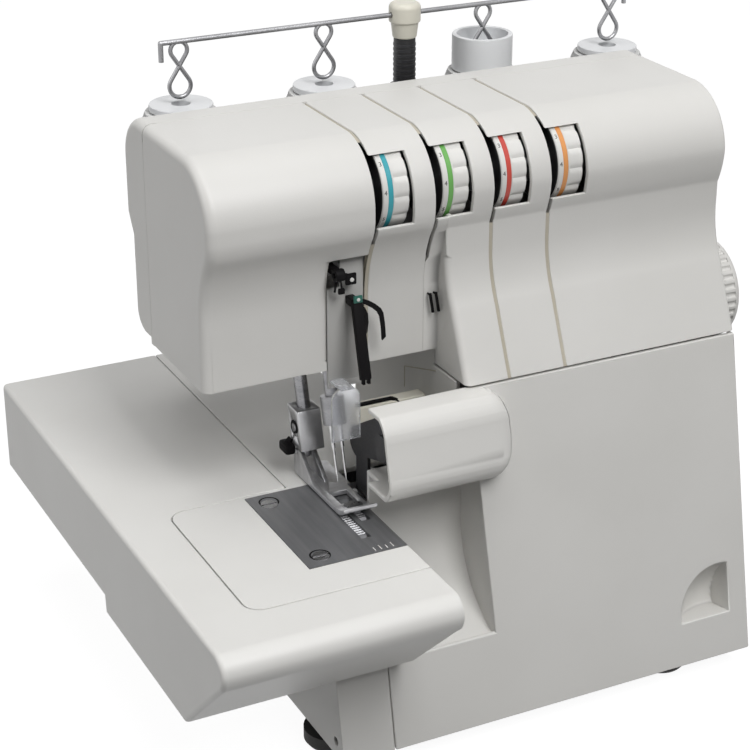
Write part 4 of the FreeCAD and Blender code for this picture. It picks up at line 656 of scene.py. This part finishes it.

# %% [markdown]
# From the left a dial has a face painted black as the shade on its left side, a plain rim for the numbers,
# a coloured ring that gives its place in the threading order, and a grip of broad low ribs. Face and ring
# are pieces of their own, because a clean border between two colours comes from two meshes more easily
# than from a texture.

# %% Tension dials
dial_lefts = (124.0, 154.0, 184.0, 214.0)
grip_start, grip_end, grip_smooth = 6.0, 13.5, 25.0
wheel_steps, ring_steps, face_steps = 112, 96, 72
wheel_outline = (
    (0.0, 5.5), (0.0, 20.6), (0.4, 21.0), (2.7, 21.0), (2.8, 20.7), (5.2, 20.7), (5.3, 21.0), (5.7, 21.0),
    (6.2, 20.9), (9.0, 20.9), (12.9, 20.9), (13.4, 20.4), (13.4, 17.2), (3.0, 17.0), (3.0, 5.5),
)
band_outline = ((2.8, 20.5), (2.8, 20.95), (2.95, 21.05), (5.05, 21.05), (5.2, 20.95), (5.2, 20.5))
face_outline = ((-0.35, 6.0), (-0.35, 20.0), (-0.1, 20.3), (0.0, 20.3), (0.0, 6.0))
ring_colours = (
    ("blue", (0.045, 0.40, 0.47), (0.03, 0.33, 0.40)),
    ("green", (0.17, 0.46, 0.11), (0.12, 0.39, 0.08)),
    ("red", (0.63, 0.075, 0.05), (0.54, 0.055, 0.04)),
    ("orange", (0.83, 0.36, 0.12), (0.75, 0.31, 0.09)),
)
for number, (left, (name, light, dark)) in enumerate(zip(dial_lefts, ring_colours), 1):
    body = f"tension_dial_{number}"
    dial = wheel(wheel_outline, left, wheel_steps)
    press_ribs(dial, left + grip_start, left + grip_end)
    piece = hand_in(f"dial_wheel_{number}", dial, "dial_white", body, grip_smooth)
    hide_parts(body)
    finish(name + "_ring", light, dark, (0.30, 0.40), 2200.0, 0.06)
    ring = wheel(band_outline, left, ring_steps)
    hand_in(f"dial_ring_{name}", ring, name + "_ring", body)
    # The black face is painted shade for the dial's left side, which lies in shadow.
    face = wheel(face_outline, left, face_steps)
    hand_in(f"dial_shade_face_{number}", face, "black_plastic", body)
print("dials made:", len(dial_lefts))

# %% [markdown]
# The numbers are printed on the rim. A texture could print them, but then they would need an image. Text is
# thickened a little, made a mesh, and then turned round the axle to its place, so that each number stands
# on the curved rim and turns with its dial.

# %% Numbers on the dials
dial_radius = 21.0
digit_size = 2.9
digit_middle = 1.45
digit_step = 36.0
digit_lead = 8.0
front_digit = 4
ink_height = 0.06 * MM
ink_lift = 0.01 * MM


def number_mesh(text):
    curve = bpy.data.curves.new("printed_number", "FONT")
    curve.body = text
    curve.size = digit_size * MM
    curve.align_x = "CENTER"
    curve.align_y = "CENTER"
    curve.extrude = ink_height
    holder = bpy.data.objects.new("printed_number", curve)
    bpy.context.scene.collection.objects.link(holder)
    bpy.context.view_layer.update()
    data = bpy.data.meshes.new_from_object(holder)
    bpy.data.objects.remove(holder)
    return data


upright = Matrix.Rotation(math.radians(90.0), 4, "X")
stand = Matrix.Translation((0, -dial_radius * MM - ink_lift, 0)) @ upright
for number, left in enumerate(dial_lefts, 1):
    printed = bmesh.new()
    for digit in range(10):
        data = number_mesh(str(digit))
        turn = Matrix.Rotation(math.radians(digit_step * (digit - front_digit) - digit_lead), 4, "X")
        data.transform(Matrix.Translation(at(left + digit_middle, *dial_axle)) @ turn @ stand)
        printed.from_mesh(data)
        bpy.data.meshes.remove(data)
    hand_in(f"dial_numbers_{number}", printed, "black_plastic", f"tension_dial_{number}")
print("numbers printed on", len(dial_lefts), "dials")

# %% [markdown]
# Each spool holds thread that was wound round and round from end to end. A smooth barrel would not read
# as thread, so the barrel's outline is given one small ridge for each turn and is spun round the pin. The
# real turns form one long helix, but a turn is under a millimetre high, so closed ridges look the same.

# %% Thread on the spools
stand_y = 226.0
spool_places = (78.0, 153.5, 242.5, 318.0)
turn_height = 0.92
turns = 86
eased_turns = 4
core_reach, thread_reach, rim_reach = 12.0, 17.4, 17.6
valley, ridge, ridge_rise = 1.1, 1.5, 0.45
winding_low, first_turn, winding_high = 79.6, 79.9, 159.3
winding_steps, winding_smooth = 44, 60.0


def add_turned(shape, outline, x, steps):
    # The outline gives distances from an upright axis and heights.
    points = [shape.verts.new(at(x + reach, stand_y, z)) for reach, z in outline]
    close_and_spin(shape, points, at(x, stand_y, 0), (0, 0, 1), steps)


outline = [(core_reach, winding_low), (rim_reach, winding_low)]
for turn in range(turns):
    low = first_turn + turn * turn_height
    ease = min(1.0, (turn + 1) / eased_turns, (turns - turn) / eased_turns)
    outline.append((thread_reach + valley * ease, low))
    outline.append((thread_reach + ridge * ease, low + ridge_rise))
outline += [(thread_reach, winding_high), (core_reach, winding_high)]
wound = bmesh.new()
for x in spool_places:
    add_turned(wound, outline, x, winding_steps)
piece = hand_in("wound_thread", wound, "thread", "chassis", winding_smooth)
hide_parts("thread_windings")
print("turns of thread per spool:", turns)

# %% [markdown]
# The telescopic pole is black and carries a stack of narrow rings just under its cap, where the upper
# section clicks into place. The rings could be so many separate hoops, but one outline spun round the pole
# gives them all at once.

# %% Rings on the pole
pole_low, pole_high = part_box("pole_stage")
pole_x = 198.0
pole_reach = (pole_high.x - pole_low.x) / 2 / MM
pole_steps = 40
ring_count = 9
ring_pitch = 2.6
ring_depth = 1.2
ring_outline = ((-0.35, 0.0), (0.25, 0.35), (0.25, 1.35), (-0.35, 1.7))
cap_gap, stack_height, stack_lip = 1.0, 24.0, 0.9
stack_top = on_drawing(pole_high).z - cap_gap
stack_low = stack_top - stack_height
inner_reach = pole_reach - ring_depth
outline = []
for number in range(ring_count):
    low = stack_low + number * ring_pitch
    outline += [(pole_reach + out, low + rise) for out, rise in ring_outline]
outline += [(inner_reach, stack_top - stack_lip), (inner_reach, stack_low)]
rings = bmesh.new()
add_turned(rings, outline, pole_x, pole_steps)
hand_in("pole_rings", rings, "dark_steel", "thread_pole")
print("pole reach", round(pole_reach, 2), "mm")

# %% [markdown]
# The spools and the cap of the thread rail are plain mouldings again, and only their rims are softened.

# %% Spools and rail cap
spool_radius, rail_cap_radius = 0.5, 0.8
softened("spools", spool_radius)
softened("rail_cap", rail_cap_radius)

# %% [markdown]
# The small fittings round the needles are blocks, rods, wires and bent strips. Drawing each one point by
# point would be slow, so a few helpers make their raw forms from bmesh's own shapes. The first is a block
# between two corners with rounded rims, the second a rod between two points, and a wire is a run of rods.

# %% Helpers for blocks and rods
rod_rim_share = 0.18
rod_rim_angle = 1.0


def add_block(shape, low, high, rim=0.4):
    low, high = Vector(low), Vector(high)
    made = bmesh.ops.create_cube(shape, size=1.0)["verts"]
    bmesh.ops.scale(shape, vec=(high - low) * MM, verts=made)
    bmesh.ops.translate(shape, vec=at(*((low + high) / 2)), verts=made)
    if rim:
        round_edges(shape, list({edge for vert in made for edge in vert.link_edges}), rim)


def add_rod(shape, start, end, radius, sides):
    start, end = at(*start), at(*end)
    run = end - start
    turn = Vector((0, 0, 1)).rotation_difference(run).to_matrix().to_4x4()
    made = bmesh.ops.create_cone(
        shape, cap_ends=True, segments=sides, radius1=radius * MM, radius2=radius * MM, depth=run.length,
        matrix=Matrix.Translation((start + end) / 2) @ turn
    )["verts"]
    edges = {edge for vert in made for edge in vert.link_edges}
    ends = [edge for edge in edges if len(edge.link_faces) == 2 and edge.calc_face_angle() > rod_rim_angle]
    round_edges(shape, ends, radius * rod_rim_share)


def add_wire(shape, points, radius, sides):
    for start, end in zip(points, points[1:]):
        add_rod(shape, start, end, radius, sides)


print("rod rims:", rod_rim_share, "of the radius")

# %% [markdown]
# A bent strip of sheet metal starts as one short edge. Extruding that edge from point to point gives a
# ribbon, and solidify then gives the ribbon the thickness of the sheet.

# %% Helper for strips
def add_strip(shape, points, width, thick, across):
    across = Vector(across).normalized() * width / 2 * MM
    ends = [shape.verts.new(at(*points[0]) - across), shape.verts.new(at(*points[0]) + across)]
    edge = shape.edges.new(ends)
    faces = []
    for first, second in zip(points, points[1:]):
        grown = bmesh.ops.extrude_edge_only(shape, edges=[edge])["geom"]
        moved = [item for item in grown if isinstance(item, bmesh.types.BMVert)]
        bmesh.ops.translate(shape, vec=at(*second) - at(*first), verts=moved)
        edges = [item for item in grown if isinstance(item, bmesh.types.BMEdge)]
        edge = next(item for item in edges if all(vert in moved for vert in item.verts))
        faces += [item for item in grown if isinstance(item, bmesh.types.BMFace)]
    bmesh.ops.recalc_face_normals(shape, faces=faces)
    bmesh.ops.solidify(shape, geom=faces, thickness=thick * MM)


print("strip helper ready")

# %% [markdown]
# The fittings need finishes of their own. The two bars and the needle clamp are a darker steel than the
# polished parts, and the feed dogs share that dark steel as painted shade for the foot that lies over them.
# The foot is steel with a brushed grain. The take-up cover is painted a darker grey as the shade in its
# recess under the lip, the cap of the guide bar is dark green, and the floors of the slots are beige. The
# blackest fittings hardly shine, and the finger guard has a rougher, frosted kind of the clear plastic.

# %% Finishes of the fittings
finish(
    "bar_steel", (0.30, 0.30, 0.31), (0.22, 0.22, 0.23), (0.22, 0.36), 900.0, 0.08,
    drift=60.0, stretch=(1.0, 1.0, 5.0), sockets={"Metallic": 1.0}
)
finish(
    "foot_steel", (0.56, 0.56, 0.57), (0.44, 0.44, 0.45), (0.26, 0.42), 700.0, 0.12,
    drift=90.0, stretch=(1.0, 3.0, 1.0), sockets={"Metallic": 0.75}
)
# Painted shade: this grey is darker than the shell and stands for the shade in the take-up recess under the
# lip.
finish("recess_shade_grey", (0.47, 0.465, 0.45), (0.42, 0.415, 0.40), (0.42, 0.55), 1900.0, 0.10)
finish("mark_green", (0.008, 0.11, 0.08), (0.005, 0.08, 0.058), (0.34, 0.48), 2400.0, 0.08)
finish("slot_beige", (0.52, 0.48, 0.40), (0.45, 0.41, 0.33), (0.5, 0.62), 1900.0, 0.10)
finish(
    "deep_black", (0.006, 0.0055, 0.006), (0.004, 0.0035, 0.004), (0.46, 0.6), 2400.0, 0.08,
    sockets={"Specular IOR Level": 0.08}
)
finish(
    "frosted_clear", (0.92, 0.93, 0.95), (0.88, 0.89, 0.92), (0.22, 0.30), 1600.0, 0.05,
    sockets={"Transmission Weight": 0.86, "IOR": 1.2, "Specular IOR Level": 0.25}
)
# The feed dogs take this dark steel as painted shade for the foot that lies over them.
for node in ("needle_bar", "presser_bar", "needle_clamp", "main_feed_dog", "differential_feed_dog"):
    for holder in frame["nodes"][node].material_slots:
        holder.material = finishes["bar_steel"]
print("finishes:", len(finishes))

# %% [markdown]
# The take-up cover is a plate that lies back in the opening of the head. In front of it stands a black bar
# with a green cap and a white dot, which is part of the threading way. Plate and bar are softened copies of
# their solids with small blocks added, and the cap and the dot are pieces of their own for their colours.

# %% Take-up cover and guide bar
plate_tongue = ((100.7, 111.75, 55.0), (118.4, 113.2, 58.6))
tooth_places, tooth_half = (110.2, 112.8), 0.7
tooth_front, tooth_back, tooth_low, tooth_high = 93.7, 95.6, 62.6, 65.4
cap_corners = ((109.3, 101.9, 99.2), (113.7, 103.2, 102.6))
dot_ends = ((111.4, 101.6, 100.9), (111.4, 102.3, 100.9))
plate = merged_copy("take_up_cover")
soften(plate, width=0.4)
add_block(plate, *plate_tongue, rim=0.3)
# The take-up cover wears the darker grey as painted shade for its recess.
plate_piece = hand_in("shade_grey_take_up_cover", plate, "recess_shade_grey", "chassis")
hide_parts("take_up_cover")
bar = merged_copy("thread_guide_bar")
soften(bar, width=0.45)
for x in tooth_places:
    low = (x - tooth_half, tooth_front, tooth_low)
    high = (x + tooth_half, tooth_back, tooth_high)
    add_block(bar, low, high, rim=0.2)
bar_piece = hand_in("guide_bar", bar, "deep_black", "chassis")
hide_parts("thread_guide_bar")
cap = bmesh.new()
add_block(cap, *cap_corners)
hand_in("guide_bar_cap", cap, "mark_green", "chassis")
dot = bmesh.new()
add_rod(dot, *dot_ends, radius=0.85, sides=18)
hand_in("guide_bar_dot", dot, "dial_white", "chassis")
print("guide bar dressed")

# %% [markdown]
# Beside the bar hang a bent hook and a leaf spring, both of thin black strip, and two short prongs stand at
# the right of the opening, each on a pin. The strips follow a few points along their bend, and each
# states which way its width runs.

# %% Hook, prongs and leaf
hook_bend = (
    (113.8, 103.4, 99.4), (116.2, 102.6, 98.4), (119.2, 102.0, 96.4), (121.8, 102.0, 94.0),
    (123.2, 102.2, 91.4), (124.2, 102.6, 86.0), (125.0, 103.2, 79.0),
)
leaf_bend = (
    (113.6, 106.2, 95.8), (115.8, 106.0, 94.4), (117.4, 106.0, 91.0),
    (117.8, 106.2, 86.5), (117.4, 106.6, 82.0), (116.6, 107.0, 79.5),
)
prong_places, prong_lean = (152.2, 155.2), 0.8
prong_y, prong_high, prong_low = 108.9, 94.2, 84.6
pin_share, pin_z, pin_back = 0.9, 93.4, 111.4
hook = bmesh.new()
add_strip(hook, hook_bend, width=2.4, thick=0.9, across=(0.75, 0.0, 0.65))
for x in prong_places:
    upper, lower = (x - prong_lean, prong_y, prong_high), (x + prong_lean, prong_y, prong_low)
    add_rod(hook, upper, lower, radius=0.75, sides=14)
    pin_x = x - prong_lean * pin_share
    add_rod(hook, (pin_x, prong_y, pin_z), (pin_x, pin_back, pin_z), radius=0.5, sides=12)
hook_piece = hand_in("dark_thread_hook", hook, "deep_black", "chassis")
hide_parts("thread_guide_hooks")
leaf = bmesh.new()
add_strip(leaf, leaf_bend, width=3.2, thick=0.5, across=(0.8, 0.6, 0.0))
hand_in("leaf_spring", leaf, "deep_black", "chassis")
print("hook and leaf made")

# %% [markdown]
# The take-up lever shows only its finger at the top of the opening. It is black, with two thin wires
# hanging from it, one of them with a small weight, that move along. Beside it a small fixed square with a
# white dot marks the threading way, held by a short post on the cover plate.

# %% Take-up lever and threading square
long_wire = ((103.9, 107.4, 114.6), (101.9, 106.6, 104.4))
short_wire = ((104.3, 106.0, 112.6), (104.9, 105.4, 105.6))
wire_weight = ((103.2, 104.9, 103.4), (106.4, 106.4, 106.2))
square_corners = ((107.4, 106.2, 106.6), (112.8, 107.6, 112.2))
square_post = ((110.1, 107.2, 109.4), (110.1, 112.0, 109.4))
spot_ends = ((110.3, 105.8, 109.2), (110.3, 106.5, 109.2))
lever = merged_copy("take_up_lever")
soften(lever, width=0.3, angle=50.0)
add_rod(lever, *long_wire, radius=0.55, sides=14)
add_rod(lever, *short_wire, radius=0.5, sides=14)
add_block(lever, *wire_weight, rim=0.5)
lever_piece = hand_in("black_take_up_lever", lever, "deep_black", "take_up_lever")
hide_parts("take_up_lever")
square = bmesh.new()
add_block(square, *square_corners, rim=0.6)
add_rod(square, *square_post, radius=1.1, sides=16)
hand_in("threading_square", square, "deep_black", "chassis")
spot = bmesh.new()
add_rod(spot, *spot_ends, radius=1.0, sides=18)
hand_in("threading_spot", spot, "dial_white", "chassis")
print("take-up lever dressed")

# %% [markdown]
# The finger guard is a small frosted sheet with round upper corners and a tab at the back of its top edge,
# by which it is held. The sheet's other rims stay sharp, because a wide bevel on two corner edges only works
# while no other rim is rounded.

# %% Finger guard
guard_low, guard_high = (96.7, 99.1, 34.1), (110.8, 100.3, 59.8)
guard_tab = ((101.4, 100.2, 58.5), (108.0, 111.6, 59.7))
corner_radius, corner_segments = 5.0, 7
front_to_back, top_margin = 0.9, 0.8
guard = bmesh.new()
add_block(guard, guard_low, guard_high, rim=0)
corners = [
    edge for edge in guard.edges
    if abs((edge.verts[0].co - edge.verts[1].co).normalized().y) > front_to_back
    and on_drawing(edge.verts[0].co).z > guard_high[2] - top_margin
]
round_edges(guard, corners, corner_radius, corner_segments)
add_block(guard, *guard_tab, rim=0.3)
guard_piece = hand_in("frosted_finger_guard", guard, "frosted_clear", "chassis")
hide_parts("finger_guard")
print("finger guard corners:", len(corners))

# %% [markdown]
# The holder of the presser foot is a block on its bar with the clamp screw sunk into its left face, and a
# small black lever behind it lets the foot go. The raised screw of the solid is cut off level with the
# face, the hole is filled, and a bright head sits there instead, in a dark ring of painted shade for the
# sunk hole.

# %% Foot holder
holder_face = 93.7
cut_reach = 0.001 * MM
screw_y, screw_z = 135.3, 27.0
screw_seat = ((93.6, screw_y, screw_z), (94.1, screw_y, screw_z))
screw_head = ((93.2, screw_y, screw_z), (93.9, screw_y, screw_z))
release_grip = ((88.6, 133.5, 13.4), (93.9, 143.0, 18.6))
release_arm = ((90.6, 139.5, 16.5), (93.9, 139.5, 19.5))
block = merged_copy("foot_holder")
bmesh.ops.bisect_plane(
    block, geom=everything(block), dist=cut_reach, plane_co=at(holder_face, 0, 0), plane_no=(-1, 0, 0),
    clear_outer=True
)
bmesh.ops.holes_fill(block, edges=[edge for edge in block.edges if edge.is_boundary], sides=0)
soften(block, width=0.5)
holder_piece = hand_in("steel_foot_holder", block, "foot_steel", "presser_bar")
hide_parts("foot_holder")
release = bmesh.new()
# This dark ring is painted shade for the hole that the clamp screw sinks into.
add_rod(release, *screw_seat, radius=3.5, sides=28)
add_block(release, *release_grip, rim=1.4)
add_rod(release, *release_arm, radius=1.6, sides=18)
hand_in("release_lever", release, "deep_black", "presser_bar")
screw = bmesh.new()
add_rod(screw, *screw_head, radius=2.1, sides=24)
hand_in("holder_screw", screw, "bar_steel", "presser_bar")
print("foot holder dressed")

# %% [markdown]
# The presser foot is a thin pressed sole with a turned-up toe. Its upper side carries an oval clip in
# front of the needles, which rides on the foot. The clip is a low cone that is pressed together one way.

# %% Presser foot
clip_centre = at(103.6, 92.3, 3.5)
clip_squeeze = (1.0, 0.82, 1.0)
clip_radius, clip_top, clip_height = 5.2 * MM, 4.6 * MM, 1.0 * MM
foot = merged_copy("presser_foot")
soften(foot, width=0.25, angle=45.0)
foot_piece = hand_in("steel_presser_foot", foot, "foot_steel", "presser_foot")
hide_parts("presser_foot")
clip = bmesh.new()
oval = bmesh.ops.create_cone(
    clip, cap_ends=True, segments=40, radius1=clip_radius, radius2=clip_top, depth=clip_height,
    matrix=Matrix.Translation(clip_centre)
)["verts"]
bmesh.ops.scale(clip, vec=clip_squeeze, space=Matrix.Translation(-clip_centre), verts=oval)
hand_in("foot_clip", clip, "bar_steel", "presser_foot")
print("presser foot dressed")

# %% [markdown]
# Round each screw of the needle plate the shade in its sunk seat is painted as a dark flat ring. Two circles
# joined by bridge_loops make it with fewer steps than a disc with a hole cut into it. A few fine lines in
# front of the needle way are marks for the cutting width, and every second one is a little longer.

# %% Plate seats and marks
seat_lift = 0.04
seat_radii = (4.9, 4.0)
seat_thickness = 0.05
plate_screws = ((72.8, 118.8), (73.0, 63.0))
mark_places, mark_half = (97.0, 100.0, 103.0, 106.0), 0.2
mark_front, mark_back, mark_top = 55.5, 58.5, 0.06
seat_shades = bmesh.new()
for x, y in plate_screws:
    seat_place = Matrix.Translation(at(x, y, seat_lift))
    edges = set()
    for radius in seat_radii:
        circle = bmesh.ops.create_circle(
            seat_shades, cap_ends=False, segments=40, radius=radius * MM, matrix=seat_place
        )["verts"]
        edges |= {edge for vert in circle for edge in vert.link_edges}
    bmesh.ops.bridge_loops(seat_shades, edges=list(edges))
bmesh.ops.recalc_face_normals(seat_shades, faces=seat_shades.faces)
bmesh.ops.solidify(seat_shades, geom=seat_shades.faces[:], thickness=seat_thickness * MM)
# These dark rings are painted shade for the sunk seats of the screws.
hand_in("screw_seat_shades", seat_shades, "deep_black", "chassis")
marks = bmesh.new()
for index, x in enumerate(mark_places):
    low = (x - mark_half, mark_front, 0.0)
    high = (x + mark_half, mark_back + index % 2, mark_top)
    add_block(marks, low, high, rim=0.02)
hand_in("plate_marks", marks, "dial_white", "chassis")
print("plate dressed")

# %% [markdown]
# Each thread slot is a narrow gap with a beige floor a little under the shell. A slice through a strip
# gives the outline of the shell; moved to the slot and scaled in a little it is that floor. Beside the
# dials the slot stays open, because it leads down to the tension discs there, and the second slot has no
# floor where it is drawn shut.

# %% Slot floors
slot_places = (120.0, 150.0, 180.0, 210.0)
slice_inset = 4.0
slice_half = 0.9
floor_scale, floor_centre = 0.992, (150.0, 60.0)
dial_low, dial_high, dial_back = 124.0, 168.0, 132.0
second_floor_low = 125.0
for number, slot_x in enumerate(slot_places, 1):
    strip_number = min(number, 3)
    slice_x = slot_places[strip_number] - slice_inset
    shape = merged_copy(f"tension_strip_{strip_number}")
    for side in (-1, 1):
        bmesh.ops.bisect_plane(
            shape, geom=everything(shape), dist=cut_reach, plane_co=at(slice_x + side * slice_half, 0, 0),
            plane_no=(side, 0, 0), clear_outer=True
        )
    middle = Matrix.Translation(-at(slice_x, *floor_centre))
    bmesh.ops.scale(shape, vec=(1.0, floor_scale, floor_scale), space=middle, verts=shape.verts)
    bmesh.ops.translate(shape, vec=((slot_x - slice_x) * MM, 0, 0), verts=shape.verts)
    open_part = []
    for face in shape.faces:
        place = on_drawing(face.calc_center_median())
        beside_dial = dial_low < place.z < dial_high and place.y < dial_back
        shut_below = number == 2 and place.z < second_floor_low
        if beside_dial or shut_below:
            open_part.append(face)
    bmesh.ops.delete(shape, geom=open_part, context="FACES")
    hand_in(f"slot_floor_{number}", shape, "slot_beige", "chassis")
print("slot floors laid:", len(slot_places))

# %% [markdown]
# Head cover and rear cover meet in a fine joint that hardly shows on the real machine, because the two
# mouldings overlap there. A strip just under the surface stands for that overlap, between one thread slot
# and the next and down the left side. One more block closes the lower rim of the head in front of the bars.

# %% Seam strips
seam_front, seam_back = 174.4, 177.6
seam_low, seam_high = 169.3, 170.92
seam_runs = ((47.0, 119.0), (212.0, 303.0), (121.5, 148.5), (151.5, 178.5), (181.5, 208.5))
side_seam = ((40.08, seam_front, 64.0), (41.9, seam_back, 163.0))
rim_block = ((89.5, 111.51, 64.6), (99.9, 113.9, 69.0))
seam = bmesh.new()
for left, right in seam_runs:
    add_block(seam, (left, seam_front, seam_low), (right, seam_back, seam_high), rim=0)
add_block(seam, *side_seam, rim=0)
add_block(seam, *rim_block, rim=0)
hand_in("seam_strips", seam, "shell_white", "chassis")
print("seam strips laid:", len(seam_runs) + 1)

# %% [markdown]
# A bent black wire runs along the knife guard's upper edge and down at its right end. On the wall at the
# right of the throat a fine angled line marks where two mouldings meet.

# %% Guard wire and wall seam
wire_bend = (
    (120.5, 124.0, 37.4), (130.0, 124.0, 37.5), (139.3, 124.0, 37.4),
    (142.2, 123.6, 35.9), (143.2, 122.4, 32.4),
)
wall_bend = ((156.95, 144.4, 31.5), (156.95, 144.4, 42.4), (156.95, 112.6, 52.6))
wire = bmesh.new()
add_wire(wire, wire_bend, radius=1.0, sides=14)
hand_in("guard_wire", wire, "deep_black", "chassis")
wall_line = bmesh.new()
add_wire(wall_line, wall_bend, radius=0.28, sides=8)
hand_in("wall_seam", wall_line, "slot_beige", "chassis")
print("wire and seam laid")
